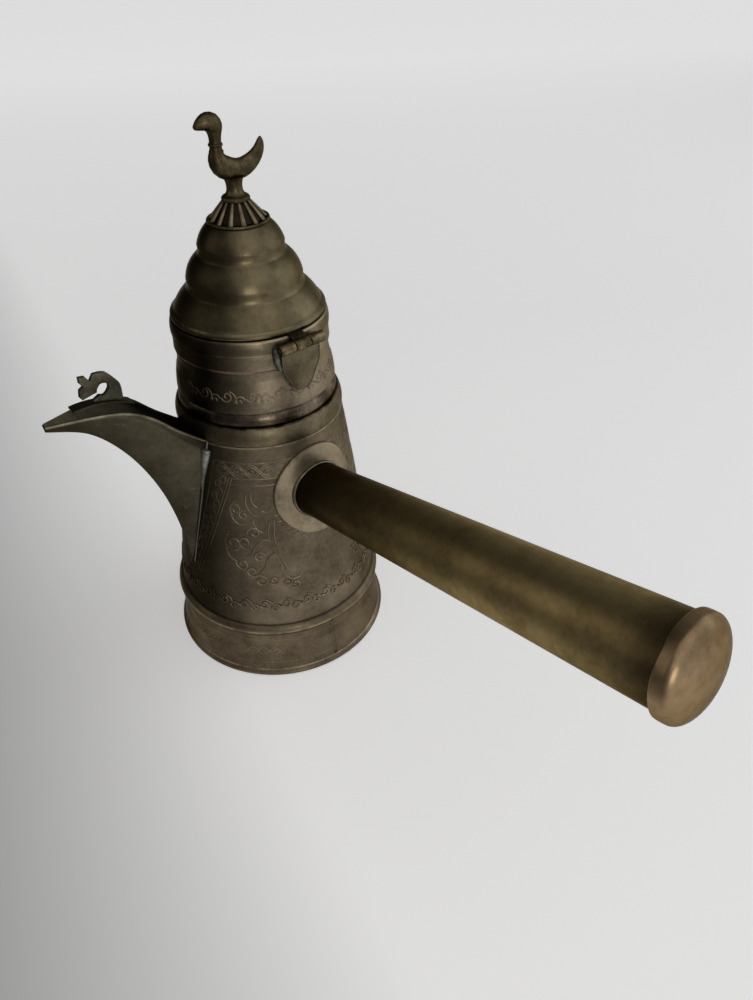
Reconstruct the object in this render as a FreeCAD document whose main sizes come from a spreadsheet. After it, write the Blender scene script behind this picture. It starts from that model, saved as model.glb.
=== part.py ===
import FreeCAD, Part
import math
import os

import Sketcher

# Long-handled brass coffee pot: millimetres, +Z up, origin at the centre of the underside.
# The spout points along -X, and the handle and the lid hinge along -Y.
os.makedirs("parts", exist_ok=True)
doc = FreeCAD.newDocument("coffee_pot")
Vector = FreeCAD.Vector

SIZES = {
    # sheet metal and fits
    "wall": 1.2,
    "solder_gap": 0.1,
    "lid_gap": 0.5,
    "sleeve_gap": 0.6,
    "pin_gap": 0.05,
    "knuckle_gap": 0.3,
    # base and foot
    "base_radius": 50.0,
    "base_rim_height": 3.2,
    "base_rim_round": 1.0,
    "base_ledge_width": 2.4,
    "base_disc_thickness": 1.2,
    "rim_overhang": 1.6,
    "foot_taper": 1.8,
    "foot_high_height": 24.0,
    "foot_bead_height": 6.0,
    "foot_bead_proud": 1.5,
    # body, shoulder and neck
    "body_step": 0.6,
    "body_high_radius": 34.4,
    "body_high_height": 118.0,
    "roll_height": 7.8,
    "roll_proud": 0.8,
    "roll_step": 1.2,
    "bead_height": 5.6,
    "bead_inset": 1.0,
    "bead_proud": 0.6,
    "neck_step": 1.6,
    "bead_lap": 0.2,
    "neck_waist_depth": 1.4,
    "neck_waist_rise": 10.6,
    "neck_spread": 0.5,
    "neck_height": 23.4,
    "neck_flare": 0.45,
    "neck_swell": 0.4,
    "rim_step": 0.3,
    "rim_height": 4.7,
    "rim_proud": 0.5,
    "rim_wall": 1.8,
    # strainer holes behind the spout
    "strainer_radius": 3.4,
    "strainer_drop": 12.0,
    "strainer_pitch": 10.0,
    # lid
    "flange_inset": 0.8,
    "flange_height": 3.0,
    "flange_land": 1.2,
    "flange_round": 0.5,
    "tier_one_height": 9.0,
    "tier_one_inset": 6.6,
    "tier_two_height": 13.0,
    "tier_two_inset": 5.8,
    "tier_three_height": 9.7,
    "tier_three_inset": 6.0,
    "valley_half_height": 1.3,
    "valley_half_taper": 0.2,
    "valley_hollow": 0.15,
    "tier_bulge": 0.9,
    "lid_wall": 1.6,
    "sleeve_depth": 5.0,
    "sleeve_wall": 1.2,
    # finial
    "calyx_overhang": 0.4,
    "calyx_top_radius": 4.4,
    "calyx_height": 7.0,
    "calyx_rib_radius": 1.1,
    "calyx_lip_height": 0.8,
    "shank_radius": 1.6,
    "shank_gap": 0.1,
    "stem_flange_radius": 5.2,
    "stem_flange_height": 1.4,
    "stem_radius": 2.9,
    "stem_height": 5.4,
    "washer_radius": 5.5,
    "washer_thickness": 1.0,
    "shank_tail": 1.2,
    "bird_height": 22.7,
    "bird_thickness": 6.4,
    # handle
    "handle_drop": 24.5,
    "handle_tilt": 11.65,
    "handle_length": 169.0,
    "handle_root_radius": 11.5,
    "handle_end_radius": 15.05,
    "escutcheon_radius": 18.0,
    "escutcheon_thickness": 1.0,
    "ferrule_width": 1.6,
    "ferrule_length": 1.6,
    "cap_wall": 1.1,
    "cap_skirt": 4.6,
    "cap_skirt_gap": 0.4,
    "cap_plate": 1.6,
    "cap_dome_height": 3.4,
    # hinge
    "hinge_clearance": 0.9,
    "hinge_drop": 1.5,
    "knuckle_radius": 2.1,
    "pin_radius": 0.9,
    "pin_overhang": 0.4,
    "barrel_length": 20.0,
    "middle_knuckle": 6.4,
    "leaf_thickness": 1.2,
    "leaf_width": 17.0,
    "leaf_drop": 19.5,
    "leaf_foot_width": 7.0,
    "leaf_shoulder_drop": 9.0,
    "bed_width": 12.0,
    "bed_height": 10.0,
    "tab_thickness": 1.2,
    # spout: its tip above the shoulder, then by stage the fall of the edge from the stage before it
    "spout_rise": 25.0,
    "spout_beak_drop": 0.5,
    "spout_bend_drop": 1.5,
    "spout_throat_drop": 5.0,
    "spout_belly_drop": 10.0,
    "spout_root_drop": 11.0,
    # depth from edge to keel, reach of keel and edge from the axis, and half width across the edges
    "spout_tip_depth": 1.8,
    "spout_tip_keel_reach": 87.0,
    "spout_tip_edge_reach": 87.0,
    "spout_tip_half_width": 1.0,
    "spout_beak_depth": 8.2,
    "spout_beak_keel_reach": 72.5,
    "spout_beak_edge_reach": 72.5,
    "spout_beak_half_width": 4.6,
    "spout_bend_depth": 20.5,
    "spout_bend_keel_reach": 61.0,
    "spout_bend_edge_reach": 61.0,
    "spout_bend_half_width": 7.6,
    "spout_throat_depth": 34.5,
    "spout_throat_keel_reach": 52.0,
    "spout_throat_edge_reach": 52.0,
    "spout_throat_half_width": 9.2,
    "spout_belly_depth": 46.0,
    "spout_belly_keel_reach": 46.4,
    "spout_belly_edge_reach": 42.0,
    "spout_belly_half_width": 10.2,
    "spout_root_depth": 63.5,
    "spout_root_keel_reach": 38.0,
    "spout_root_edge_reach": 29.0,
    "spout_root_half_width": 10.6,
    "hood_thickness": 0.8,
    "hood_length": 10.5,
    "hood_back_rise": 3.3,
    "hood_tip_rise": 1.4,
    "tongue_half_width": 2.4,
    "tongue_length": 22.0,
    "tongue_fall": 4.9,
    "tongue_arch": 1.7,
    "crest_setback": 2.5,
    "crest_seat": 2.4,
    "crest_height": 13.2,
    "crest_thickness": 1.8,
    "rivet_radius": 1.5,
    "rivet_drop": 21.0,
    "solder_top_radius": 2.4,
    "solder_low_radius": 0.8,
    "solder_drop": 20.0,
}

sheet = doc.addObject("Spreadsheet::Sheet", "Sizes")
for row, (alias, value) in enumerate(SIZES.items(), start=1):
    sheet.set(f"A{row}", alias)
    sheet.set(f"B{row}", str(value))
    sheet.setAlias(f"B{row}", alias)
doc.recompute()


class Size:
    """A length with the sheet formula that gives it, so that sums keep both."""

    def __init__(self, value, text):
        self.value = value
        self.text = text

    def __add__(self, other):
        other = as_size(other)
        return Size(self.value + other.value, f"({self.text} + {other.text})")

    def __sub__(self, other):
        other = as_size(other)
        return Size(self.value - other.value, f"({self.text} - {other.text})")

    def __mul__(self, factor):
        return Size(self.value * factor, f"({self.text} * {factor})")

    def __truediv__(self, factor):
        return Size(self.value / factor, f"({self.text} / {factor})")


def as_size(value):
    return value if isinstance(value, Size) else Size(float(value), str(float(value)))


def size(alias):
    return Size(float(sheet.get(alias)), f"Sizes.{alias}")


def number(alias):
    return float(sheet.get(alias))


def dome_bulge(radius, height):
    """How far the arc of a dome centred on its axis stands out from the chord of its half section."""
    sphere = (radius.value ** 2 + height.value ** 2) / (2 * height.value)
    quarter = (radius.value ** 2 + height.value ** 2) / 4
    sphere_text = f"(({radius.text}^2 + {height.text}^2) / (2 * {height.text}))"
    quarter_text = f"(({radius.text}^2 + {height.text}^2) / 4)"
    return Size(sphere - math.sqrt(sphere ** 2 - quarter),
                f"({sphere_text} - sqrt({sphere_text}^2 - {quarter_text}))")


def origin_plane(body, role):
    return next(feature for feature in body.Origin.OriginFeatures if feature.Role == role)


def profile(body, name, plane_role, points, bulges=None):
    """A closed sketch through points, each side straight or an arc that stands out by its bulge."""
    bulges = bulges or {}
    sketch = body.newObject("Sketcher::SketchObject", name)
    sketch.AttachmentSupport = [(origin_plane(body, plane_role), "")]
    sketch.MapMode = "FlatFace"
    places = [Vector(across.value, up.value, 0) for across, up in points]
    count = len(points)
    starts = []
    ends = []
    for index, here in enumerate(places):
        there = places[(index + 1) % count]
        if index in bulges:
            run = there - here
            outward = Vector(run.y, -run.x, 0).normalize()
            middle = (here + there) * 0.5 + outward * bulges[index].value
            forward = bulges[index].value > 0
            first, last = (here, there) if forward else (there, here)
            side = sketch.addGeometry(Part.Arc(first, middle, last))
        else:
            side = sketch.addGeometry(Part.LineSegment(here, there))
            forward = True
        starts.append((side, 1 if forward else 2))
        ends.append((side, 2 if forward else 1))
    for index in range(count):
        sketch.addConstraint(Sketcher.Constraint("Coincident", *ends[index], *starts[(index + 1) % count]))
    for index, (across, up) in enumerate(points):
        for kind, amount in (("DistanceX", across), ("DistanceY", up)):
            rule = sketch.addConstraint(Sketcher.Constraint(kind, -1, 1, *starts[index], amount.value))
            sketch.setExpression(f"Constraints[{rule}]", amount.text)
    for index, bulge in bulges.items():
        across, up = points[index]
        next_across, next_up = points[(index + 1) % count]
        width = next_across - across
        rise = next_up - up
        half_chord = (width.value ** 2 + rise.value ** 2) / 4
        radius = (half_chord + bulge.value ** 2) / (2 * abs(bulge.value))
        text = f"(({width.text}^2 + {rise.text}^2) / 4 + {bulge.text}^2) / (2 * abs({bulge.text}))"
        rule = sketch.addConstraint(Sketcher.Constraint("Radius", starts[index][0], radius))
        sketch.setExpression(f"Constraints[{rule}]", text)
    return sketch


def turned(name, points, bulges=None):
    """A piece of revolution about Z, from its half section in the XZ plane."""
    body = doc.addObject("PartDesign::Body", name)
    section = profile(body, f"{name}_section", "XZ_Plane", points, bulges)
    turn = body.newObject("PartDesign::Revolution", f"{name}_turn")
    turn.Profile = section
    turn.ReferenceAxis = (section, ["V_Axis"])
    turn.Angle = 360
    section.Visibility = False
    return body


def cylinder(name, radius, length):
    rod = doc.addObject("Part::Cylinder", name)
    rod.setExpression("Radius", radius.text)
    rod.setExpression("Height", length.text)
    return rod


def block(name, length, width, height):
    piece = doc.addObject("Part::Box", name)
    piece.setExpression("Length", length.text)
    piece.setExpression("Width", width.text)
    piece.setExpression("Height", height.text)
    return piece


def place(piece, across, along, up, rotation=None):
    """Puts a piece at a point whose coordinates follow the sheet."""
    if rotation is not None:
        piece.Placement = FreeCAD.Placement(Vector(), rotation)
    for axis, amount in (("x", across), ("y", along), ("z", up)):
        piece.setExpression(f"Placement.Base.{axis}", as_size(amount).text)
    return piece


def cut(name, base, tool):
    result = doc.addObject("Part::Cut", name)
    result.Base = base
    result.Tool = tool
    return result


def joined(name, pieces):
    result = doc.addObject("Part::MultiFuse", name)
    result.Shapes = pieces
    return result


def shaped(name, shape):
    feature = doc.addObject("Part::Feature", name)
    feature.Shape = shape
    return feature


ALONG_X = FreeCAD.Rotation(Vector(0, 0, 1), Vector(1, 0, 0))
nodes = {}
wall = size("wall")
gap = size("solder_gap")

# Heights of the seats, from the floor up
foot_top = size("foot_high_height") + size("foot_bead_height")
body_top = size("body_high_height")
roll_top = body_top + size("roll_height")
bead_top = roll_top + size("bead_height")
neck_top = bead_top + size("neck_height")
rim_top = neck_top + size("rim_height")
lid_base = rim_top + size("lid_gap")
flange_top = lid_base + size("flange_height")
tier_one_top = flange_top + size("tier_one_height")
tier_two_top = tier_one_top + size("tier_two_height")
lid_top = tier_two_top + size("tier_three_height")

# Base rim: a folded ring whose inner ledge hooks over the bottom disc
base_radius = size("base_radius")
base_rim_height = size("base_rim_height")
foot_low = base_radius - size("rim_overhang")
foot_high = foot_low - size("foot_taper")
body_low = foot_high - size("body_step")
disc_radius = foot_low - wall - gap * 2
ledge_low = size("base_disc_thickness")
ledge_radius = disc_radius - size("base_ledge_width")
nodes["base_rim"] = turned("base_rim", [
    (base_radius, as_size(0)),
    (base_radius, base_rim_height),
    (ledge_radius, base_rim_height),
    (ledge_radius, ledge_low),
    (disc_radius + gap, ledge_low),
    (disc_radius + gap, as_size(0)),
], {0: size("base_rim_round") * 0.5})

# Bottom disc, flush with the rim and held under its ledge
nodes["base_disc"] = cylinder("base_disc", disc_radius, ledge_low)

# Foot band, ending in the rounded bead that the body stands in
foot_height = size("foot_high_height")
nodes["foot_band"] = turned("foot_band", [
    (foot_low, base_rim_height),
    (foot_high, foot_height),
    (body_low, foot_top),
    (body_low - wall, foot_top),
    (foot_high - wall, foot_height),
    (foot_low - wall, base_rim_height),
], {1: size("foot_bead_proud"), 3: size("foot_bead_proud") * -1})

# Body cone, with the strainer holes that lead into the spout
body_high = size("body_high_radius")
cone_wall = turned("body_cone", [
    (body_low, foot_top),
    (body_high, body_top),
    (body_high - wall, body_top),
    (body_low - wall, foot_top),
])
holes = []
for index in range(3):
    hole = cylinder(f"strainer_hole_{index + 1}", size("strainer_radius"), body_low)
    height = body_top - size("strainer_drop") - size("strainer_pitch") * index
    holes.append(place(hole, body_low * -1, 0, height, ALONG_X))
nodes["body_shell"] = cut("body_shell", cone_wall, joined("strainer_holes", holes))

# Shoulder roll and the bead above it
roll_top_radius = body_high - size("roll_step")
roll_inner = body_high - wall * 1.5
nodes["shoulder_roll"] = turned("shoulder_roll", [
    (body_high, body_top),
    (roll_top_radius, roll_top),
    (roll_inner - wall, roll_top),
    (roll_inner - wall, body_top),
], {0: size("roll_proud")})
neck_low = roll_top_radius - size("neck_step")
nodes["shoulder_bead"] = turned("shoulder_bead", [
    (roll_top_radius - size("bead_inset"), roll_top),
    (neck_low + size("bead_lap"), bead_top),
    (neck_low - wall, bead_top),
    (neck_low - wall, roll_top),
], {0: size("bead_proud")})

# Neck band, waisted, and the rolled rim round the mouth
neck_waist = neck_low - size("neck_waist_depth")
neck_end = neck_waist + size("neck_spread")
waist_height = bead_top + size("neck_waist_rise")
nodes["neck_band"] = turned("neck_band", [
    (neck_low, bead_top),
    (neck_waist, waist_height),
    (neck_end, neck_top),
    (neck_end - wall, neck_top),
    (neck_waist - wall, waist_height),
    (neck_low - wall, bead_top),
], {0: size("neck_flare") * -1, 1: size("neck_swell"),
    3: size("neck_swell") * -1, 4: size("neck_flare")})
rim_radius = neck_end + size("rim_step")
rim_bore = rim_radius - size("rim_wall")
nodes["neck_rim"] = turned("neck_rim", [
    (rim_radius, neck_top),
    (rim_radius - size("rim_proud"), rim_top),
    (rim_bore, rim_top),
    (rim_bore, neck_top),
], {0: size("rim_proud")})

# A solid cone that follows the outside of the body, for pieces that are fitted to it
body_rise = number("body_high_height") - foot_top.value
body_slope = (number("body_high_radius") - body_low.value) / body_rise


def body_radius_at(height):
    return body_low.value + body_slope * (height - foot_top.value)


def fitting_cone(standoff):
    low = foot_top.value
    high = roll_top.value
    cone = Part.makeCone(body_radius_at(low) + standoff, body_radius_at(high) + standoff, high - low)
    cone.translate(Vector(0, 0, low))
    return cone


# Spout trough: sheet folded to a V, its stages lofted and its hollow cut from above
STAGES = ("root", "belly", "throat", "bend", "beak", "tip")
edge_heights = {"tip": body_top + size("spout_rise")}
for later, stage in zip(STAGES[::-1], STAGES[-2::-1]):
    edge_heights[stage] = edge_heights[later] - size(f"spout_{stage}_drop")


def spout_value(stage, name):
    return number(f"spout_{stage}_{name}")


def edge_height(stage):
    return edge_heights[stage].value


def keel_height(stage):
    return edge_height(stage) - spout_value(stage, "depth")


def spout_section(stage, inset, lift):
    """The V across the spout at a stage, drawn in by inset and raised at the edges by lift."""
    keel = Vector(-spout_value(stage, "keel_reach"), 0, keel_height(stage))
    edge = Vector(-spout_value(stage, "edge_reach"), 0, edge_height(stage))
    half = spout_value(stage, "half_width")
    upward = (edge - keel).normalize()
    depth = (edge - keel).Length
    inner_keel = keel + upward * (inset * math.hypot(half, depth) / half)
    inner_half = half * (1 - inset * math.hypot(half, depth) / (half * depth)) * (1 + lift / depth)
    top = edge + upward * lift
    side = Vector(0, inner_half, 0)
    return Part.makePolygon([inner_keel, top + side, top - side, inner_keel])


outer_trough = Part.makeLoft([spout_section(stage, 0, 0) for stage in STAGES], True, True)
hollow_lift = 2 * number("wall")
hollow_stages = STAGES[:-1]
spout_hollow = Part.makeLoft([spout_section(stage, number("wall"), hollow_lift) for stage in hollow_stages],
                             True, True)
trough = outer_trough.cut(spout_hollow).cut(fitting_cone(number("solder_gap")))
top_collar = Part.makeCylinder(body_radius_at(body_top.value) + number("roll_proud") + number("solder_gap"),
                               number("roll_height"), Vector(0, 0, body_top.value))
trough = trough.cut(top_collar)
nodes["spout_trough"] = shaped("spout_trough", max(trough.Solids, key=lambda solid: solid.Volume))

# Hood: a ridged roof over the beak, its eaves on the edges of the trough
beak_reach = spout_value("beak", "edge_reach")
tip_reach = spout_value("tip", "edge_reach")
tip_half = spout_value("tip", "half_width")
hood_share = number("hood_length") / (tip_reach - beak_reach)
hood_reach = tip_reach - number("hood_length")
hood_half = tip_half + (spout_value("beak", "half_width") - tip_half) * hood_share
hood_low = edge_height("tip") - number("spout_beak_drop") * hood_share + number("solder_gap")


def hood_section(reach, half, low, rise):
    """A roof across the spout, as a folded sheet seen from its end."""
    leg = number("hood_thickness") * math.hypot(half, rise) / rise
    ridge = number("hood_thickness") * math.hypot(half, rise) / half
    corners = [(half, 0), (0, rise), (-half, 0), (leg - half, 0), (0, rise - ridge), (half - leg, 0)]
    points = [Vector(-reach, across, low + up) for across, up in corners]
    return Part.makePolygon(points + points[:1])


hood_back = hood_section(hood_reach, hood_half, hood_low, number("hood_back_rise"))
hood_tip = hood_section(tip_reach, tip_half, edge_height("tip") + number("solder_gap"), number("hood_tip_rise"))
nodes["spout_hood"] = shaped("spout_hood", Part.makeLoft([hood_back, hood_tip], True, True))

# Tongue: an arched strip that runs back from the ridge of the hood and carries the crest
tongue_front = Vector(-hood_reach, 0, hood_low + number("hood_back_rise"))
tongue_back = tongue_front + Vector(number("tongue_length"), 0, -number("tongue_fall"))
tongue_across = Vector(0, number("tongue_half_width"), 0)
tongue_thickness = Vector(0, 0, number("hood_thickness"))


def tongue_arc(lift):
    """The arched line of the tongue's top, raised by lift."""
    middle = (tongue_front + tongue_back) * 0.5 + Vector(0, 0, number("tongue_arch"))
    return Part.Arc(tongue_front + lift, middle + lift, tongue_back + lift).toShape()


def under_tongue(lift, depth):
    """The strip below the raised line of the tongue, as deep as asked."""
    top = tongue_arc(lift)
    bottom = tongue_arc(lift - depth)
    ends = [Part.makeLine(point + lift - depth, point + lift) for point in (tongue_front, tongue_back)]
    strip = Part.Face(Part.Wire(Part.sortEdges([top, bottom] + ends)[0]))
    strip.translate(tongue_across * -1)
    return strip.extrude(tongue_across * 2)


nodes["spout_tongue"] = shaped("spout_tongue", under_tongue(Vector(), tongue_thickness))

# Crest: a hooked curl with three prongs, cut from sheet and standing on the tongue.
# Its outline is read from its heel, as distance ahead and height, and the tongue trims its foot.
CREST_BACK = [(0.4, -3.0), (0.4, 0.0), (0.3, 5.1), (1.4, 7.8), (4.8, 11.9), (9.1, 12.7)]
CREST_PRONGS = [(10.7, 10.5), (12.0, 12.8), (14.4, 13.2), (14.5, 10.9), (13.4, 9.4), (15.1, 8.3), (15.6, 5.7),
                (14.9, 4.6), (9.3, 5.6)]
CREST_EYE = [(9.3, 5.6), (8.8, 7.0), (7.2, 8.3), (5.0, 7.6), (4.9, 5.6), (6.8, 3.7), (8.6, 4.2)]
CREST_FOOT = [(11.0, 3.0), (11.0, -3.0), (0.4, -3.0)]
crest_scale = number("crest_height") / max(up for ahead, up in CREST_PRONGS)
crest_heel = tongue_back + Vector(-number("crest_setback"), 0, number("crest_seat"))
crest_half = Vector(0, number("crest_thickness") / 2, 0)


def crest_line(points):
    return [crest_heel - crest_half + Vector(-ahead, 0, up) * crest_scale for ahead, up in points]


def through(points):
    curve = Part.BSplineCurve()
    curve.interpolate(points)
    return curve.toShape()


def straight_runs(points):
    return [Part.makeLine(here, there) for here, there in zip(points, points[1:])]


crest_edges = [through(crest_line(CREST_BACK)), through(crest_line(CREST_EYE))]
crest_edges += straight_runs(crest_line(CREST_BACK[-1:] + CREST_PRONGS))
crest_edges += straight_runs(crest_line(CREST_EYE[-1:] + CREST_FOOT))
crest = Part.Face(Part.Wire(Part.sortEdges(crest_edges)[0])).extrude(crest_half * 2)
below_crest = under_tongue(Vector(0, 0, number("solder_gap")), Vector(0, 0, number("crest_height")))
crest = crest.cut(below_crest)
nodes["spout_crest"] = shaped("spout_crest", max(crest.Solids, key=lambda solid: solid.Volume))

# Rivet head on the side of the spout nearest the handle, and solder wedges at the top of both seams
rivet_height = body_top.value - number("rivet_drop")
rivet_reach = body_radius_at(rivet_height) + 4 * number("rivet_radius")
probe = Part.makeLine(Vector(-rivet_reach, -4 * number("base_radius"), rivet_height),
                      Vector(-rivet_reach, 0, rivet_height))
rivet_place = min((vertex.Point for vertex in outer_trough.common(probe).Vertexes), key=lambda point: point.y)
rivet = Part.makeSphere(number("rivet_radius"), rivet_place).cut(outer_trough)
nodes["spout_rivet"] = shaped("spout_rivet", max(rivet.Solids, key=lambda solid: solid.Volume))
seam_high = edge_height("root")
seam_depth = spout_value("root", "depth")
seam_low = seam_high - number("solder_drop")
wedges = []
for side in (-1, 1):
    ends = []
    for height in (seam_high, seam_low):
        half = spout_value("root", "half_width") * (height - keel_height("root")) / seam_depth
        reach = math.sqrt(max(body_radius_at(height) ** 2 - half ** 2, 0))
        ends.append(Vector(-reach, side * half, height))
    run = ends[1] - ends[0]
    wedge = Part.makeCone(number("solder_top_radius"), number("solder_low_radius"), run.Length, ends[0], run)
    wedge = wedge.cut(outer_trough).cut(fitting_cone(number("solder_gap"))).cut(top_collar)
    wedges.append(max(wedge.Solids, key=lambda solid: solid.Volume))
nodes["spout_solder"] = shaped("spout_solder", Part.makeCompound(wedges))

# Handle: escutcheon curved to the body, ferrule, tapered tube and domed cap on one tilted axis
handle_tilt = math.radians(number("handle_tilt"))
handle_way = Vector(0, -math.cos(handle_tilt), math.sin(handle_tilt))
handle_height = body_top.value - number("handle_drop")
handle_root = Vector(0, -body_radius_at(handle_height), handle_height)
handle_turn = FreeCAD.Rotation(Vector(0, 0, 1), handle_way)
handle_length = number("handle_length")
plate_low = fitting_cone(number("solder_gap"))
plate_high = fitting_cone(number("solder_gap") + number("escutcheon_thickness"))
disc_blank = Part.makeCylinder(number("escutcheon_radius"), number("base_radius"),
                               handle_root - handle_way * number("escutcheon_radius"), handle_way)
escutcheon = disc_blank.common(plate_high).cut(plate_low)
nodes["handle_escutcheon"] = shaped("handle_escutcheon", max(escutcheon.Solids, key=lambda solid: solid.Volume))
seat_cone = fitting_cone(2 * number("solder_gap") + number("escutcheon_thickness"))
root_radius = number("handle_root_radius")
end_radius = number("handle_end_radius")
tube = Part.makeCone(root_radius, end_radius, handle_length)
tube = tube.cut(Part.makeCone(root_radius - number("wall"), end_radius - number("wall"), handle_length))
tube.Placement = FreeCAD.Placement(handle_root, handle_turn)
tube = tube.cut(seat_cone)
nodes["handle_tube"] = shaped("handle_tube", max(tube.Solids, key=lambda solid: solid.Volume))
taper = (end_radius - root_radius) / handle_length
ferrule_radius = root_radius + number("solder_gap") + number("ferrule_width")
plate_top_lean = ferrule_radius * (math.tan(handle_tilt) + body_slope)
plate_top = plate_top_lean + number("escutcheon_thickness") + 2 * number("solder_gap")
collar_length = plate_top + number("ferrule_length")
collar_bore = Part.makeCone(root_radius + number("solder_gap"),
                            root_radius + number("solder_gap") + taper * collar_length, collar_length)
ferrule = Part.makeCylinder(ferrule_radius, collar_length).cut(collar_bore)
ferrule.Placement = FreeCAD.Placement(handle_root, handle_turn)
ferrule = ferrule.cut(seat_cone)
nodes["handle_ferrule"] = shaped("handle_ferrule", max(ferrule.Solids, key=lambda solid: solid.Volume))
cap_bore = size("handle_end_radius") + size("cap_skirt_gap")
cap_radius = cap_bore + size("cap_wall")
skirt = size("cap_skirt")
cap_shoulder = skirt + size("cap_plate")
cap = turned("handle_cap", [
    (cap_radius, as_size(0)),
    (cap_radius, cap_shoulder),
    (as_size(0), cap_shoulder + size("cap_dome_height")),
    (as_size(0), skirt),
    (cap_bore, skirt),
    (cap_bore, as_size(0)),
], {1: dome_bulge(cap_radius, size("cap_dome_height"))})
cap.Placement = FreeCAD.Placement(handle_root + handle_way * (handle_length - skirt.value), handle_turn)
nodes["handle_cap"] = cap

# Hinge on the neck: shield leaf with two outer knuckles, solder bed behind it, and the pin
hinge_height = rim_top - size("hinge_drop")
hinge_reach = rim_radius + size("hinge_clearance") + size("knuckle_radius")
hinge_along = hinge_reach * -1
half_barrel = size("barrel_length") / 2
half_middle = size("middle_knuckle") / 2 + size("knuckle_gap")
leaf_body = doc.addObject("PartDesign::Body", "leaf_plate")
half_leaf = size("leaf_width") / 2
half_foot = size("leaf_foot_width") / 2
shield_shoulder = hinge_height - size("leaf_shoulder_drop")
shield_foot = hinge_height - size("leaf_drop")
shield = profile(leaf_body, "leaf_outline", "XZ_Plane", [
    (half_leaf, hinge_height),
    (half_leaf * -1, hinge_height),
    (half_leaf * -1, shield_shoulder),
    (half_foot * -1, shield_foot),
    (half_foot, shield_foot),
    (half_leaf, shield_shoulder),
])
leaf_pad = leaf_body.newObject("PartDesign::Pad", "leaf_pad")
leaf_pad.Profile = shield
leaf_pad.setExpression("Length", size("leaf_thickness").text)
leaf_face = hinge_along + size("knuckle_radius") - size("leaf_thickness")
place(leaf_body, 0, leaf_face + size("leaf_thickness"), 0)
knuckles = []
for name, start in (("near", half_barrel * -1), ("far", half_middle)):
    knuckle = cylinder(f"{name}_knuckle", size("knuckle_radius"), half_barrel - half_middle)
    knuckles.append(place(knuckle, start, hinge_along, hinge_height, ALONG_X))
leaf_blank = joined("leaf_blank", [leaf_body] + knuckles)
pin_bore = cylinder("leaf_pin_bore", size("pin_radius") + size("pin_gap"), size("barrel_length"))
place(pin_bore, half_barrel * -1, hinge_along, hinge_height, ALONG_X)
notch_height = size("knuckle_radius") * 2 + size("knuckle_gap") * 2
notch = block("leaf_notch", half_middle * 2, size("knuckle_radius") * 4, notch_height)
place(notch, half_middle * -1, hinge_along - size("knuckle_radius") * 2,
      hinge_height - size("knuckle_radius") - size("knuckle_gap"))
nodes["hinge_neck_leaf"] = cut("hinge_neck_leaf", leaf_blank, joined("leaf_cuts", [pin_bore, notch]))
pin = cylinder("hinge_pin", size("pin_radius"), size("barrel_length") + size("pin_overhang") * 2)
nodes["hinge_pin"] = place(pin, half_barrel * -1 - size("pin_overhang"), hinge_along, hinge_height, ALONG_X)
bed_block = block("bed_block", size("bed_width"), hinge_reach, size("bed_height"))
bed_low = shield_foot + (size("leaf_drop") - size("bed_height")) / 2
place(bed_block, size("bed_width") / -2, leaf_face + size("leaf_thickness"), bed_low)
neck_filler = turned("neck_filler", [
    (neck_low + gap, bead_top),
    (neck_waist + gap, waist_height),
    (neck_end + gap, neck_top),
    (as_size(0), neck_top),
    (as_size(0), bead_top),
], {0: size("neck_flare") * -1, 1: size("neck_swell")})
bed_far_side = block("bed_far_side", base_radius * 2, base_radius, neck_top)
place(bed_far_side, base_radius * -1, 0, 0)
nodes["hinge_solder_bed"] = cut("hinge_solder_bed", bed_block, joined("bed_cuts", [neck_filler, bed_far_side]))

# Lid shell: a flange and three bulging tiers, hollow inside, bored for the finial
flange_radius = rim_radius - size("flange_inset")
tier_one_low = flange_radius - size("flange_land")
valley_rise = size("valley_half_height")
valley_taper = size("valley_half_taper")
valley_one = tier_one_low - size("tier_one_inset")
valley_two = valley_one - size("tier_two_inset")
lid_top_radius = valley_two - size("tier_three_inset")
lid_wall = size("lid_wall")
bulge = size("tier_bulge")
valley_hollow = size("valley_hollow") * -1
bore = size("shank_radius") + size("shank_gap")
nodes["lid_shell"] = turned("lid_shell", [
    (flange_radius, lid_base),
    (flange_radius, flange_top),
    (tier_one_low, flange_top),
    (valley_one + valley_taper, tier_one_top - valley_rise),
    (valley_one - valley_taper, tier_one_top + valley_rise),
    (valley_two + valley_taper, tier_two_top - valley_rise),
    (valley_two - valley_taper, tier_two_top + valley_rise),
    (lid_top_radius, lid_top),
    (bore, lid_top),
    (bore, lid_top - lid_wall),
    (lid_top_radius - lid_wall, lid_top - lid_wall),
    (valley_two - lid_wall, tier_two_top - lid_wall),
    (valley_one - lid_wall, tier_one_top - lid_wall),
    (rim_bore - size("sleeve_gap") - size("sleeve_wall"), lid_base),
], {0: size("flange_round"), 2: bulge, 3: valley_hollow, 4: bulge, 5: valley_hollow, 6: bulge})

# Sleeve under the lid, which drops into the neck
sleeve_radius = rim_bore - size("sleeve_gap")
nodes["lid_sleeve"] = turned("lid_sleeve", [
    (sleeve_radius, lid_base - size("sleeve_depth")),
    (sleeve_radius, lid_base),
    (sleeve_radius - size("sleeve_wall"), lid_base),
    (sleeve_radius - size("sleeve_wall"), lid_base - size("sleeve_depth")),
])

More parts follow.
